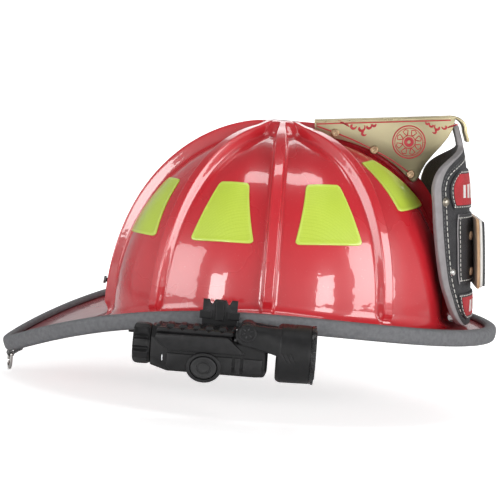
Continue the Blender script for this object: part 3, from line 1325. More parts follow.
# ear and neck protector: doubled cloth, folded up, with soft folds and a bound lower hem
g = Geo()
rows_ = []
n = 220
for i in range(n):
    u = i / (n - 1)
    t = 82 + 196.0 * u
    loop = []
    ns = 20
    en = min(1.0, min(u, 1 - u) * (n - 1) / 3.0)
    for side in (0, 1):
        for j in range(ns):
            v = j / (ns - 1)
            if side:
                v = 1 - v
            zz = 8.0 + 20.0 * v
            fold = 0.55 * math.sin(u * 52.0 + 0.8 * math.sin(u * 17.0)) * (1 - v) ** 0.7 + 0.35 * noise.noise(Vector((u * 30.0, v * 3.0, 1.0 + side)))
            edge = math.sqrt(max(0.0, 1 - abs(2 * v - 1) ** 6))
            hem = 0.35 * math.exp(-((v - 0.08) / 0.05) ** 2)
            half = (0.25 + 0.75 * edge) * (0.62 + hem) * (0.4 + 0.6 * en)
            o = 1.5 + fold * 0.55 + half * (1 if side == 0 else -1)
            x, y = plan_pt(EP, t, -1.5 + max(0.02, min(2.98, o)))
            loop.append((x, y, zz + 0.25 * math.sin(u * 40.0) * (1 - v) * (1 if zz > 9 else 0.3)))
    rows_.append(loop)
g.grid(rows_, cv=True, cap0=True, cap1=True)
g.obj("neck_flap_cloth", M["flap"], rep=("ear_neck_protector",), slot="flap_fabric")
g = Geo()
for k in range(150):
    t = 83 + 194.0 * k / 149
    for zz in (10.2,):
        x, y = plan_pt(EP, t, -1.35)
        x2, y2 = plan_pt(EP, t + 0.3, -1.35)
        th = math.radians(t)
        g.capsule((x, y, zz), (x2 - x, y2 - y, 0), (-math.cos(th), -math.sin(th), 0), 1.5, 0.45, 0.4)
g.obj("neck_flap_stitches", M["thread_dark"], slot="flap_fabric")


def webbing(name, node, frames, w, t, mat, slot, body="helmet", ribs=True, stitch=None):
    """frames: list of (centre, tangent, width direction, thickness direction)"""
    g = Geo()
    rows_ = []
    for i, (c, a, wd, td) in enumerate(frames):
        c, wd, td = Vector(c), Vector(wd).normalized(), Vector(td).normalized()
        loop = []
        m = 14
        for side in (1, -1):
            for j in range(m):
                f = -1 + 2 * j / (m - 1)
                if side < 0:
                    f = -f
                e = math.sqrt(max(0.0, 1 - abs(f) ** 8))
                tick = 0.06 * math.sin(i * 2.2 + (j % 2) * PI) if ribs else 0.0
                k = (t / 2) * (0.55 + 0.45 * e) * (1.0 - (0.14 if abs(abs(f) - 0.7) < 0.09 else 0.0)) + tick * 0.5
                loop.append(tuple(c + wd * (f * w / 2) + td * (side * max(0.05, min(t / 2, k)))))
        rows_.append(loop)
    g.grid(rows_, cv=True, cap0=True, cap1=True)
    o = g.obj(name, mat, rep=(node,) if node else (), slot=slot, body=body)
    return o


fr = []
for k in range(150):
    t = 84 + 178.0 * k / 149
    x, y = plan_pt(CS, t, 0.0)
    x2, y2 = plan_pt(CS, t + 0.5, 0.0)
    th = math.radians(t)
    nx, ny = math.cos(th) / CS[0], math.sin(th) / CS[1]
    fr.append(((x, y, 18.0 + 0.35 * math.sin(k * 0.11)), (x2 - x, y2 - y, 0), (0, 0, 1), (nx, ny, 0)))
webbing("chin_webbing", "chin_strap", fr, 15.6, 1.3, M["web"], "webbing")

# crown straps, three arches with stitched crossing
cs_all = Geo()
for az, d in ((math.radians(30), 0.0), (math.radians(90), 1.9), (math.radians(150), 3.8)):
    c, s = math.cos(az), math.sin(az)
    rows_ = []
    nn = 110
    for k in range(nn):
        th = math.radians(-80 + 160.0 * k / (nn - 1))
        r = (85.0 + d + 0.6) * math.sin(th)
        z = 24.0 + (108.0 + d - 24.0 + 0.6) * math.cos(th)
        nrm = Vector((c * math.sin(th), s * math.sin(th), math.cos(th)))
        wd = Vector((-s, c, 0))
        ctr = Vector((2 + r * c, r * s, z))
        loop = []
        m = 14
        for side in (1, -1):
            for j in range(m):
                f = -1 + 2 * j / (m - 1)
                if side < 0:
                    f = -f
                e = math.sqrt(max(0.0, 1 - abs(f) ** 8))
                k2 = 0.58 * (0.5 + 0.5 * e) * (0.86 if abs(abs(f) - 0.72) < 0.09 else 1.0) + 0.02 * math.sin(k * 2.2 + j * PI)
                loop.append(tuple(ctr + wd * (f * 9.4) + nrm * (side * min(0.6, k2))))
        rows_.append(loop)
    cs_all.grid(rows_, cv=True, cap0=True, cap1=True)
cs_all.obj("crown_webbing", M["web"], rep=("crown_straps",), slot="webbing")

# headband: moulded strip with rolled edges, slots and a row of raised studs
def path_headband(u, off):
    """u 0..1 round the front half and the two straight tails"""
    L0 = 16.0
    tot = L0 * 2 + PI * 88.0
    s = u * tot
    if s < L0:
        return (-14.0 + s, -(77.0 + off)), (0.0, -1.0)
    if s > tot - L0:
        return (-14.0 + (tot - s), 77.0 + off), (0.0, 1.0)
    t = -90 + 180.0 * (s - L0) / (tot - 2 * L0)
    th = math.radians(t)
    nx, ny = math.cos(th) / HB[0], math.sin(th) / HB[1]
    g_ = math.hypot(nx, ny)
    return plan_pt(HB, t, off), (nx / g_, ny / g_)


g = Geo()
rows_ = []
for i in range(170):
    u = i / 169
    (x, y), (nx, ny) = path_headband(u, 0.0)
    loop = []
    prof = [(4.0, 0.45), (4.0, 1.15), (4.5, 1.6), (6.0, 1.6), (6.5, 1.2), (14.0, 1.2), (17.0, 1.25), (23.0, 1.2), (30.5, 1.2), (31.0, 1.6), (32.5, 1.6), (33.0, 1.15),
            (33.0, 0.45), (32.5, 0.02), (24.0, 0.02), (13.0, 0.02), (4.5, 0.02)]
    for z, o in prof:
        loop.append((x + nx * o, y + ny * o, z))
    rows_.append(loop)
g.grid(rows_, cv=True, cap0=True, cap1=True)
g.obj("headband_strip", M["band"], rep=("headband",), slot="band_plastic", auto=40)

# nape band with toothed adjustment slots
g = Geo()
rows_ = []
nn = 150
for i in range(nn):
    u = i / (nn - 1)
    Ls = 32.0
    tot = 2 * Ls + PI * 81.0
    s = u * tot
    if s < Ls:
        x, y, nx, ny = 12.0 - s, 79.6, 0.0, 1.0
    elif s > tot - Ls:
        x, y, nx, ny = 12.0 - (tot - s), -79.6, 0.0, -1.0
    else:
        t = 90 + 180.0 * (s - Ls) / (tot - 2 * Ls)
        x, y = plan_pt(NB, t, 0.0)
        th = math.radians(t)
        nx, ny = math.cos(th) / NB[0], math.sin(th) / NB[1]
        g_ = math.hypot(nx, ny)
        nx, ny = nx / g_, ny / g_
    z0, z1 = nape_z(x)
    H = z1 - z0
    loop = []
    for f, o in ((0.0, 0.4), (0.0, 0.8), (0.03, 1.2), (0.10, 1.2), (0.13, 0.85), (0.5, 0.85), (0.87, 0.85), (0.9, 1.2), (0.97, 1.2), (1.0, 0.8), (1.0, 0.4), (0.97, 0.02), (0.5, 0.02), (0.03, 0.02)):
        loop.append((x + nx * o, y + ny * o, z0 + H * f))
    rows_.append(loop)
g.grid(rows_, cv=True, cap0=True, cap1=True)
g.obj("nape_strip", M["band"], rep=("nape_band",), slot="band_plastic", body="nape", auto=40)

# impact liner: foam dome with rounded lower rim and pressed channels between the pads
g = Geo()
rows_ = []
nth = 128
LIN_OUT, LIN_IN = SHELL_T + 1.6, SHELL_T + 10.5
for c in range(nth):
    th = 2 * PI * c / nth
    pb = phi_base(th)
    col = []
    m = 34
    P = []
    for k in range(m):
        u = k / (m - 1)
        ph = (1 - u) * (PI / 2 - 0.03) + u * pb
        r, z, nr, nz = dome(th, ph)
        if k == 0:
            nr, nz = 0.0, 1.0
        P.append((r, z, nr, nz, u))
    for r, z, nr, nz, u in P:
        col.append((CX + (r - nr * LIN_OUT) * math.cos(th), (r - nr * LIN_OUT) * math.sin(th), z - nz * LIN_OUT))
    r, z, nr, nz, u = P[-1]
    for q in (0.2, 0.5, 0.8):
        o = LIN_OUT + (LIN_IN - LIN_OUT) * q
        dz = -1.0 * math.sin(PI * q) * 0.0
        col.append((CX + (r - nr * o) * math.cos(th), (r - nr * o) * math.sin(th), z - nz * o + dz))
    for r, z, nr, nz, u in reversed(P):
        dd = abs(((th / (PI / 4)) + 0.5) % 1.0 - 0.5) * (PI / 4) * max(r, 1.0)
        ch = 1.8 * math.exp(-(dd / 3.2) ** 2) * smooth((r - 18.0) / 20.0)
        ch2 = 1.6 * math.exp(-((z - 62.0) / 3.0) ** 2)
        o = LIN_IN - max(ch, ch2) if u < 0.97 else LIN_IN - 0.4
        col.append((CX + (r - nr * o) * math.cos(th), (r - nr * o) * math.sin(th), z - nz * o))
    rows_.append(col)
g.grid(rows_, cu=True)
nvr = len(rows_[0])
for idx, flip in ((0, False), (nvr - 1, True)):
    zc_ = sum(rows_[c][idx][2] for c in range(nth)) / nth
    g.v.append((CX, 0.0, zc_))
    ce = len(g.v) - 1
    for c in range(nth):
        a, b = c * nvr + idx, ((c + 1) % nth) * nvr + idx
        g.f.append((b, a, ce) if flip else (a, b, ce))
        g.m.append(0)
g.obj("liner_foam_dome", M["foam"], rep=("impact_liner",), slot="foam")

# ---------------------------------------------------------------- CAD nodes that stay: finishes
KEEP = {
    "holder_screws": "brass_screw", "holder_nuts": "brass_screw", "rear_rib_screw": "black_steel",
    "plate_spacers": "leather_tan", "ring_bracket": "black_steel", "bracket_rivet": "black_steel", "hang_ring": "steel",
    "headband_hangers": "band", "buckle_socket": "band", "buckle_plug": "band", "brim_clip": "plastic", "clip_screw": "black_steel",
    "ratchet_housing": "band", "ratchet_knob": "rubber", "ratchet_pinion": "band", "battery_cells": "cell",
    "battery_plates": "plastic_gloss", "contact_spring": "steel", "driver_board": "board",
    "tail_cap_o_ring": "rubber", "head_pivot_pin": "black_steel",
    "light_bezel": "plastic_gloss", "light_lens": "lens", "light_reflector": "mirror", "light_emitter": "led"}
for node, mat in KEEP.items():
    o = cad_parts[node]
    o.data.materials.clear()
    o.data.materials.append(M[mat])
    for p in o.data.polygons:
        p.material_index = 0

# ---------------------------------------------------------------- helmet light, built from bevelled lumps joined into one shell
LY, LZ = -162.0, -3.0
HZ, HR = -2.4, 20.65
PX, PZ = -16.0, 12.4


def lump(verts, faces, bevel=0.0, seg=2, ang=25.0):
    me = bpy.data.meshes.new("lump")
    me.from_pydata([(x * 0.001, y * 0.001, z * 0.001) for x, y, z in verts], [], faces)
    bm = bmesh.new()
    bm.from_mesh(me)
    bmesh.ops.remove_doubles(bm, verts=bm.verts, dist=1e-7)
    bmesh.ops.recalc_face_normals(bm, faces=bm.faces)
    if bevel:
        lim = math.radians(ang)
        ed = [e for e in bm.edges if len(e.link_faces) == 2 and e.calc_face_angle(0) > lim]
        bmesh.ops.bevel(bm, geom=ed, offset=bevel * 0.001, segments=seg, profile=0.5, affect="EDGES", clamp_overlap=True)
        bmesh.ops.recalc_face_normals(bm, faces=bm.faces)
    bm.to_mesh(me)
    bm.free()
    o = bpy.data.objects.new("lump", me)
    COL.objects.link(o)
    return o


def prism_y(pts, y0, y1, **kw):
    n = len(pts)
    vs = [(x, y0, z) for x, z in pts] + [(x, y1, z) for x, z in pts]
    fs = [tuple(range(n)), tuple(reversed(range(n, 2 * n)))]
    fs += [(i, (i + 1) % n, n + (i + 1) % n, n + i) for i in range(n)]
    return lump(vs, fs, **kw)


def loft_x(secs, **kw):
    """secs: list of (x, [(y, z) ...])"""
    n = len(secs[0][1])
    vs = [(x, y, z) for x, p in secs for y, z in p]
    fs = grid_faces(len(secs), n, False, True)
    fs.append(tuple(range(n)))
    fs.append(tuple(reversed(range((len(secs) - 1) * n, len(secs) * n))))
    return lump(vs, fs, **kw)


def lathe_lump(prof, c, ax, n=40, **kw):
    g_ = Geo()
    g_.lathe(prof, c, ax, n)
    return lump(g_.v, g_.f, **kw)


def boolean(a, b, op):
    m = a.modifiers.new("b", "BOOLEAN")
    m.operation = op
    m.object = b
    m.solver = "EXACT"
    dg = bpy.context.evaluated_depsgraph_get()
    dg.update()
    me = bpy.data.meshes.new_from_object(a.evaluated_get(dg))
    a.modifiers.clear()
    old = a.data
    a.data = me
    bpy.data.meshes.remove(old)
    bpy.data.objects.remove(b, do_unlink=True)
    return a


def as_piece(o, name, mat, body, rep=(), auto=32.0):
    me = o.data
    o.name = name
    me.name = name
    me.materials.clear()
    me.materials.append(mat)
    bm = bmesh.new()
    bm.from_mesh(me)
    bmesh.ops.remove_doubles(bm, verts=bm.verts, dist=2e-6)
    bmesh.ops.dissolve_degenerate(bm, edges=bm.edges, dist=1e-6)
    lim = math.radians(auto)
    for e in bm.edges:
        if len(e.link_faces) == 2:
            e.smooth = e.calc_face_angle(0) <= lim
    for f in bm.faces:
        f.smooth = True
        f.material_index = 0
    bm.to_mesh(me)
    bm.free()
    if rep:
        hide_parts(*rep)
    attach(o, body)
    return o


def octa(hw, top, bot, ch):
    return [(LY - hw, bot + ch), (LY - hw, top - ch), (LY - hw + ch, top), (LY + hw - ch, top), (LY + hw, top - ch), (LY + hw, bot + ch),
            (LY + hw - ch, bot), (LY - hw + ch, bot)]


def ell(cx, cz, a, b, n=44):
    return [(cx + a * math.cos(2 * PI * k / n), cz + b * math.sin(2 * PI * k / n)) for k in range(n)]


def holder_low(x):
    r = x - CX
    return DOME_H * (1 - (r / DOME_F) ** 2.5) ** 0.4 + 2.4 + 2.8 * smooth((x - 22) / 78.0)


# folded brass holder: two flanks cut back behind the shield, one top sheet that hooks over the leather
fl = [(21.0, 159.9), (129.0, 171.5), (131.2, 171.2), (130.6, 166.0), (129.4, 160.5), (126.6, 154.4), (122.0, 147.6), (116.5, 140.6), (111.2, 133.2), (108.0, 126.4),
      (106.4, 121.4), (104.4, 118.3), (101.6, 117.2)]
fl += [(x, holder_low(x)) for x in (98, 94, 90, 85, 80, 75, 70, 65, 60, 55, 50, 45, 40, 35, 31, 26, 22)]
hold = prism_y(fl, -HOLDER_Y, HOLDER_Y, bevel=0.35)
hold = boolean(hold, prism_y([(10.0, 157.4), (129.0, 170.1), (140.0, 170.1), (140.0, 90.0), (10.0, 90.0)], -HOLDER_Y + 1.2, HOLDER_Y - 1.2), "DIFFERENCE")
tp = [(21.1, 158.5), (21.1, 159.95), (128.0, 171.4)] + [(129.6 + 11.6 * math.sin(math.radians(a_)), 159.8 + 11.7 * math.cos(math.radians(a_))) for a_ in range(0, 91, 10)] + [(142.6, 156.0), (143.9, 152.4)]
ti = [(141.5, 151.6), (140.1, 156.0)] + [(129.6 + 9.0 * math.sin(math.radians(a_)), 159.8 + 9.3 * math.cos(math.radians(a_))) for a_ in range(90, -1, -10)]
hold = boolean(hold, prism_y(tp + ti, -HOLDER_Y, HOLDER_Y, bevel=0.5), "UNION")
as_piece(hold, "front_holder_sheet", M["brass"], "helmet", rep=("front_holder",), auto=30)

case = loft_x([(-83.6, octa(14.2, 11.2, -17.2, 7.4)), (-71.5, octa(16.6, 10.2, -20.2, 6.6)), (-9.0, octa(16.6, 10.2, -20.2, 6.6)),
               (-2.6, octa(16.4, 8.0, -19.6, 6.4)), (-0.6, octa(14.0, 4.0, -15.5, 5.0))], bevel=0.9)
# step down under the tilting head
case = boolean(case, prism_y([(-10.5, 2.2), (4, 0.4), (4, 40), (-10.5, 40)], LY - 30, LY + 30), "DIFFERENCE")
case = boolean(case, prism_y([(-24.5, 3.0), (4, 3.0), (4, 40), (-24.5, 40)], LY + 7.0, LY + 30), "DIFFERENCE")
case = boolean(case, prism_y([(-26.5, 4.2), (4, 2.2), (4, 40), (-26.5, 40)], LY - 30, LY - 7.0), "DIFFERENCE")
case = boolean(case, prism_y(ell(PX, PZ, 6.2, 6.2), LY - 7.0, LY + 7.0, bevel=0.0), "UNION")
# raised side panels
case = boolean(case, prism_y([(-81.0, 3.4), (-71.0, -4.2), (-57.0, -4.0), (-34.0, -3.8), (-16.5, -3.6), (-29.0, 7.6), (-80.0, 7.0)], LY - 18.5, LY - 12.0, bevel=0.7), "UNION")
case = boolean(case, prism_y([(-71.4, -6.0), (-71.4, -15.6), (-68.6, -17.6), (-25.2, -17.6), (-25.2, -6.0)], LY - 17.6, LY - 12.0, bevel=0.6), "UNION")
case = boolean(case, prism_y([(-23.4, -6.0), (-23.4, -17.4), (-19.6, -17.4), (-19.6, -6.0)], LY - 17.5, LY - 12.0, bevel=0.5), "UNION")
case = boolean(case, prism_y([(-17.6, -6.0), (-17.6, -17.0), (-4.0, -16.4), (-4.0, -6.2)], LY - 17.4, LY - 12.0, bevel=0.6), "UNION")
# toothed top rail
rail_pts = [(-81.0, 7.0), (-81.0, 11.4)]
for k in range(6):
    x = -75.6 + 9.3 * k
    rail_pts += [(x - 2.7, 13.0), (x - 1.7, 11.1), (x + 1.7, 11.1), (x + 2.7, 13.0)]
rail_pts += [(-24.4, 12.6), (-24.4, 7.0)]
case = boolean(case, prism_y(rail_pts, LY - 6.4, LY + 6.4, bevel=0.45), "UNION")
for s in (-1, 1):
    pts = [(-80.0, 8.0), (-80.0, 10.4)] + [p for k in range(6) for p in ((-78.4 + 9.3 * k, 11.2), (-72.8 + 9.3 * k, 11.2), (-72.0 + 9.3 * k, 9.9), (-70.9 + 9.3 * k, 9.9))][:-2] + [(-25.5, 10.2), (-25.5, 8.0)]
    case = boolean(case, prism_y(pts, LY + s * 10.8 - 2.6, LY + s * 10.8 + 2.6, bevel=0.35), "UNION")
# oval switch collar
BX, BZ_ = -45.0, -14.6
case = boolean(case, prism_y(ell(BX, BZ_, 12.6, 10.6), LY - 18.9, LY - 9.0, bevel=0.9), "UNION")
case = boolean(case, prism_y(ell(BX, BZ_, 9.9, 8.4), LY - 30.0, LY - 13.4), "DIFFERENCE")
# slot beside the cap for the status lamp
case = boolean(case, prism_y([(-75.6, -12.8), (-74.0, -12.8), (-74.0, -7.2), (-75.6, -7.2)], LY - 20.0, LY - 14.9), "DIFFERENCE")
# battery bore and clip groove
case = boolean(case, lathe_lump([(0, 11.9), (67.7, 11.9), (67.8, 8.0), (74.5, 8.0)], (-91.0, LY, LZ), (1, 0, 0), 48), "DIFFERENCE")
case = boolean(case, prism_y([(-77.0, -10.8), (-5.0, -10.8), (-5.0, -2.2), (-77.0, -2.2)], LY + 15.2, LY + 18.5), "DIFFERENCE")
case = boolean(case, prism_y([(-77.0, -13.8), (-5.0, -13.8), (-5.0, 0.8), (-77.0, 0.8)], LY + 13.2, LY + 15.9), "DIFFERENCE")
as_piece(case, "light_body_shell", M["plastic"], "light", rep=("light_case",))
g = Geo()
g.capsule((-74.8, LY - 15.3, -10.0), (0, 0, 1), (0, -1, 0), 4.6, 1.3, 1.2)
g.obj("light_status_lamp", M["indicator"], body="light", slot="lens_clear")

# oval switch button with a shallow dish and raised rim
g = Geo()
rows_ = []
for a_, b_, y in ((9.2, 7.7, LY - 15.1), (9.35, 7.85, LY - 17.0), (9.3, 7.8, LY - 18.6), (9.0, 7.5, LY - 19.1), (8.3, 6.8, LY - 19.25), (7.6, 6.1, LY - 19.1), (6.6, 5.2, LY - 18.7),
                  (4.6, 3.6, LY - 18.5), (2.2, 1.7, LY - 18.45), (0.3, 0.25, LY - 18.45)):
    rows_.append([(x, y, z) for x, z in ell(BX, BZ_, a_, b_, 48)])
g.grid(rows_, cv=True, cap0=True, cap1=True)
for r_ in (4.2, 5.4):
    g.tube([(x, LY - 18.62, z) for x, z in ell(BX, BZ_, r_, r_ * 0.8, 40)], 0.28, 6, closed=True)
g.obj("light_switch_cap", M["rubber"], rep=("light_button",), body="button", slot="switch_rubber")

# tail cap: deep flutes with rounded lands, chamfered end, threaded plug inside
g = Geo()
rows_ = []
NF, NA = 10, 120


def flute(a, x):
    k = 0.5 - 0.5 * math.cos(NF * a)
    depth = 2.3 * smooth((k - 0.55) / 0.4)
    fade = smooth((x + 96.8) / 1.5) * smooth((-85.2 - x) / 1.2)
    return depth * fade


for x, r in ((-96.6, 0.4), (-96.6, 6.0), (-96.2, 6.4), (-96.2, 9.6), (-96.6, 10.0), (-96.6, 12.2), (-96.2, 13.2), (-95.4, 14.1), (-94.2, 14.7), (-92.4, 14.9), (-89.0, 14.9), (-87.0, 14.8), (-86.0, 14.6),
             (-85.4, 14.3), (-85.0, 13.9), (-84.2, 13.8), (-84.1, 11.6), (-81.9, 11.6), (-81.8, 10.2), (-79.0, 10.2), (-78.9, 11.5), (-76.2, 11.5), (-76.0, 11.2), (-76.0, 7.2), (-80.0, 7.0), (-80.0, 0.4)):
    row = []
    for k in range(NA):
        a = 2 * PI * k / NA
        rr = r - (flute(a + 0.16, x) if r > 12.5 else 0.0)
        row.append((x, LY + rr * math.cos(a), LZ + rr * math.sin(a)))
    rows_.append(row)
g.grid(rows_, cv=True, cap0=True, cap1=True)
g.obj("light_tail_cap_fluted", M["plastic"], rep=("light_tail_cap",), body="tail_cap", slot="light_black", auto=38)


# raised spine on the brim clip
g = Geo()
for x0_, x1_, z0_, z1_, y0_, y1_ in ((-40.6, -34.4, 14.4, 29.2, -145.7, -144.2), (-52.0, -43.0, 15.4, 21.4, -145.6, -144.5), (-32.0, -23.0, 15.4, 21.4, -145.6, -144.5)):
    c_ = 0.5
    rows_ = []
    for yy, ins in ((y1_, 0.0), (y0_ + c_, 0.0), (y0_, c_), (y0_, 2 * c_)):
        rows_.append([(x0_ + ins, yy, z0_ + ins), (x1_ - ins, yy, z0_ + ins), (x1_ - ins, yy, z1_ - ins), (x0_ + ins, yy, z1_ - ins)])
    g.grid(rows_, cv=True, cap0=True, cap1=True)
g.obj("brim_clip_spine", M["plastic"], body="helmet", slot="light_black", auto=30)

# tilting head: squarish barrel easing to a round bezel, with one broad outer arm and one slim inner arm
def sup(a, n, R):
    c, s = math.cos(a), math.sin(a)
    k = (abs(c) ** n + abs(s) ** n) ** (-1.0 / n)
    return R * k * c, R * k * s


g = Geo()
rows_ = []
NA = 96
for x, R, n in ((5.1, 0.6, 2.6), (5.1, 15.0, 2.6), (5.3, 18.0, 2.6), (5.9, 19.3, 2.6), (7.1, 20.2, 2.6), (9.0, 20.6, 2.6), (12.0, 20.65, 2.5), (17.0, 20.65, 2.35), (22.0, 20.65, 2.2), (26.0, 20.65, 2.06),
                (28.6, 20.65, 2.0), (29.3, 20.4, 2.0), (29.4, 20.0, 2.0), (29.4, 18.5, 2.0), (22.0, 18.4, 2.0), (12.4, 18.4, 2.0), (12.0, 18.0, 2.0), (12.0, 0.6, 2.0)):
    row = []
    for k in range(NA):
        a = 2 * PI * k / NA
        y, z = sup(a, n, R)
        row.append((x, LY + y, HZ + z))
    rows_.append(row)
g.grid(rows_, cv=True, cap0=True, cap1=True)
head = lump(g.v, g.f)
# vent grooves across the top of the barrel
for k in range(3):
    x = 9.4 + 3.6 * k
    head = boolean(head, prism_y([(x, HZ + 19.6), (x + 1.6, HZ + 19.6), (x + 2.2, HZ + 24), (x - 0.6, HZ + 24)], LY - 9.0, LY + 9.0), "DIFFERENCE")
# slanted grip grooves on the cheek
for k in range(3):
    x = 12.4 + 3.2 * k
    head = boolean(head, prism_y([(x, -6.2 - 0.4 * k), (x + 1.3, -6.6 - 0.4 * k), (x - 2.6, 0.2), (x - 3.9, 0.2)], LY - 24.0, LY - 20.35), "DIFFERENCE")


def arm_y(z, x):
    n = 5.0 - 2.2 * smooth((x + 6.0) / 13.0)
    d = min(0.985, abs(z - HZ) / HR)
    return HR * (1 - d ** n) ** (1 / n)


out = []
R8 = 8.2
for k in range(15):
    a = math.radians(88 + (262 - 88) * k / 14)
    out.append((PX + R8 * math.cos(a), 10.8 + 7.4 * math.sin(a)))
for k in range(1, 10):
    t = k / 9
    out.append((out[14][0] + (8.2 - out[14][0]) * t, out[14][1] + (-2.6 - out[14][1]) * t ** 1.15))
for k in range(1, 9):
    out.append((8.2, -2.6 + (16.6 + 2.6) * k / 8))
for k in range(1, 10):
    t = k / 10
    out.append((8.2 + (out[0][0] - 8.2) * t, 16.6 + (out[0][1] - 16.6) * t))
cxa, cza = -5.4, 8.0
g = Geo()
rings = []
for s, o_ in ((0.6, -2.15), (0.97, -2.15), (1.0, -1.9), (1.0, -0.55), (0.985, -0.2), (0.96, -0.05), (0.93, 0.0), (0.8, 0.0), (0.62, 0.0), (0.44, 0.0), (0.26, 0.0), (0.1, 0.0)):
    row = []
    for x, z in out:
        xx, zz = cxa + (x - cxa) * s, cza + (z - cza) * s
        row.append((xx, LY - arm_y(zz, xx) - o_, zz))
    rings.append(row)
g.grid(rings, cv=True, cap0=True, cap1=True)
head = boolean(head, lump(g.v, g.f), "UNION")
head = boolean(head, prism_y([(PX, PZ + 4.6), (9.0, 14.2), (9.0, 5.0), (PX + 2, PZ - 5.2), (PX - 3.6, PZ - 3.6), (PX - 5.2, PZ), (PX - 3.6, PZ + 3.4)], LY + 7.4, LY + 10.4, bevel=0.4), "UNION")
as_piece(head, "light_head_shell", M["plastic"], "light_head_body", rep=("light_head",), auto=30)
g = Geo()
g.lathe([(0.0, 6.4), (1.5, 6.4), (1.9, 6.0), (1.95, 5.2), (1.6, 4.9), (1.55, 0.2)], (PX, LY - 18.3, PZ - 0.2), (0, -1, 0.31), 40)
g.obj("head_pivot_disc", M["plastic"], body="light_head_body", slot="light_black", auto=30)
g = Geo()
for k in range(6):
    a = PI * k / 3 + 0.3
    g.capsule((PX + 2.9 * math.cos(a), LY - 19.85 + 0.9 * math.sin(a), PZ + 0.3 + 2.8 * math.sin(a)), (math.cos(a), 0.31 * math.sin(a), math.sin(a)), (0, -1, 0.31), 2.6, 1.0, 0.8)
g.obj("head_pivot_marks", M["plastic_gloss"], body="light_head_body", slot="light_black")
# scalloped striking edge and rubber seal on the bezel
g = Geo()
g.tube([(32.65, LY + 17.0 * math.cos(2 * PI * k / 64), HZ + 17.0 * math.sin(2 * PI * k / 64)) for k in range(64)], 0.55, 8, closed=True, up=(1, 0, 0))
g.obj("bezel_seal", M["rubber"], body="light_head_body", slot="switch_rubber")
g = Geo()
for k in range(24):
    a = 2 * PI * k / 24
    c_, s_ = math.cos(a), math.sin(a)
    g.capsule((31.6, LY + 20.75 * c_, HZ + 20.75 * s_), (1, 0, 0), (0, c_, s_), 2.0, 2.6, 0.7)
g.obj("bezel_grip", M["plastic_gloss"], body="light_head_body", slot="light_black")

# ---------------------------------------------------------------- camera, floor, light
def cam_matrix(a, e, D, T, roll):
    a, e, r = math.radians(a), math.radians(e), math.radians(roll)
    back = Vector((math.sin(a) * math.cos(e), -math.cos(a) * math.cos(e), math.sin(e)))
    C = Vector(T) + back * D
    fwd = -back
    right0 = Vector((math.cos(a), math.sin(a), 0))
    up0 = right0.cross(fwd)
    right = right0 * math.cos(r) + up0 * math.sin(r)
    up = -right0 * math.sin(r) + up0 * math.cos(r)
    m = Matrix((right, up, back)).transposed().to_4x4()
    m.translation = C
    return m


cd = bpy.data.cameras.new("camera_main")
cam = bpy.data.objects.new("camera_main", cd)
COL.objects.link(cam)
cd.sensor_width = 36.0
cd.sensor_fit = "HORIZONTAL"
cd.lens = 126.0
cd.clip_start, cd.clip_end = 0.05, 20.0
cam.matrix_world = cam_matrix(1.0, 6.0, 1.4, (-0.022, 0.0, 0.052), 4.5)
bpy.context.scene.camera = cam

fm, nt, b = new_mat("floor_paper")
b.inputs["Base Color"].default_value = (0.93, 0.93, 0.93, 1)
b.inputs["Roughness"].default_value = 0.85
n1 = N(nt, "ShaderNodeTexNoise")
n1.inputs["Scale"].default_value = 30.0
bp = N(nt, "ShaderNodeBump")
bp.inputs["Strength"].default_value = 0.02
nt.links.new(n1.outputs["Fac"], bp.inputs["Height"])
nt.links.new(bp.outputs["Normal"], b.inputs["Normal"])
lp = N(nt, "ShaderNodeLightPath")
ml = N(nt, "ShaderNodeMath", operation="MULTIPLY")
ml.inputs[1].default_value = 0.60
nt.links.new(lp.outputs["Is Camera Ray"], ml.inputs[0])
tcf = N(nt, "ShaderNodeTexCoord")
ln = N(nt, "ShaderNodeVectorMath", operation="LENGTH")
nt.links.new(tcf.outputs["Object"], ln.inputs[0])
fr_ = N(nt, "ShaderNodeMapRange")
fr_.inputs["From Min"].default_value = 0.45
fr_.inputs["From Max"].default_value = 1.5
fr_.inputs["To Min"].default_value = 0.60
fr_.inputs["To Max"].default_value = 1.05
nt.links.new(ln.outputs["Value"], fr_.inputs["Value"])
nt.links.new(fr_.outputs["Result"], ml.inputs[1])
nt.links.new(ml.outputs["Value"], b.inputs["Emission Strength"])
b.inputs["Emission Color"].default_value = (1, 1, 1, 1)
zf = float(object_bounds()[0][2]) - 0.0008
me = bpy.data.meshes.new("floor")
rows_ = []
V_, F_ = [], []
prof = [(-7.0, zf)]
prof.append((1.6, zf))
for k in range(1, 13):
    a = math.radians(90 * k / 12)
    prof.append((1.6 + 0.9 * math.sin(a), zf + 0.9 * (1 - math.cos(a))))
prof.append((2.5, zf + 4.0))
for y, z in prof:
    V_ += [(-6.0, y, z), (6.0, y, z)]
for i in range(len(prof) - 1):
    F_.append((2 * i, 2 * i + 1, 2 * i + 3, 2 * i + 2))
me.from_pydata(V_, [], F_)
me.materials.append(fm)
me.polygons.foreach_set("use_smooth", [True] * len(me.polygons))
floor = bpy.data.objects.new("floor", me)
COL.objects.link(floor)


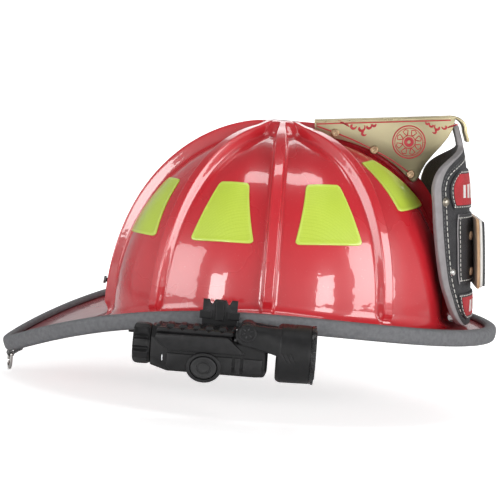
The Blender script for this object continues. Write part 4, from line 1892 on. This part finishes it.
def area(name, loc, target, sx, sy, power, col=(1, 1, 1)):
    ld = bpy.data.lights.new(name, "AREA")
    ld.shape = "RECTANGLE"
    ld.size, ld.size_y = sx, sy
    ld.energy = power
    ld.color = col
    o = bpy.data.objects.new(name, ld)
    COL.objects.link(o)
    o.location = loc
    d = Vector(target) - Vector(loc)
    o.rotation_euler = d.to_track_quat("-Z", "Y").to_euler()
    return o


area("key_top", (0.05, -0.35, 1.75), (0, 0, 0.05), 0.9, 0.35, 5.0)
area("side_left", (-1.35, -0.75, 0.35), (0, 0, 0.05), 0.7, 0.6, 5.4)
area("side_right", (1.3, -0.85, 0.45), (0, 0, 0.05), 0.7, 0.8, 10.5)
area("front_left", (-0.75, -1.55, 0.24), (0, 0, 0.05), 0.5, 0.35, 5)
area("front_right", (0.65, -1.6, 0.28), (0, 0, 0.05), 0.5, 0.4, 5)
area("back_rim", (0.2, 1.1, 0.9), (0, 0, 0.1), 1.4, 0.7, 5)

w = bpy.data.worlds.new("studio")
bpy.context.scene.world = w
w.use_nodes = True
bgn = w.node_tree.nodes.get("Background")
bgn.inputs["Color"].default_value = (1.0, 1.0, 1.0, 1)
tcw = N(w.node_tree, "ShaderNodeTexCoord")
spw = N(w.node_tree, "ShaderNodeSeparateXYZ")
w.node_tree.links.new(tcw.outputs["Generated"], spw.inputs["Vector"])
mrw = N(w.node_tree, "ShaderNodeMapRange")
mrw.inputs["From Min"].default_value = 0.15
mrw.inputs["From Max"].default_value = 0.75
mrw.inputs["To Min"].default_value = 0.56
mrw.inputs["To Max"].default_value = 0.15
w.node_tree.links.new(spw.outputs["Z"], mrw.inputs["Value"])
lpw = N(w.node_tree, "ShaderNodeLightPath")
mxw = N(w.node_tree, "ShaderNodeMix", data_type="FLOAT")
mxw.inputs["B"].default_value = 1.05
w.node_tree.links.new(lpw.outputs["Is Camera Ray"], mxw.inputs["Factor"])
w.node_tree.links.new(mrw.outputs["Result"], mxw.inputs["A"])
w.node_tree.links.new(mxw.outputs["Result"], bgn.inputs["Strength"])
bpy.context.scene.view_settings.view_transform = "Standard"
bpy.context.scene.view_settings.look = "None"
bpy.context.scene.view_settings.exposure = 0.0
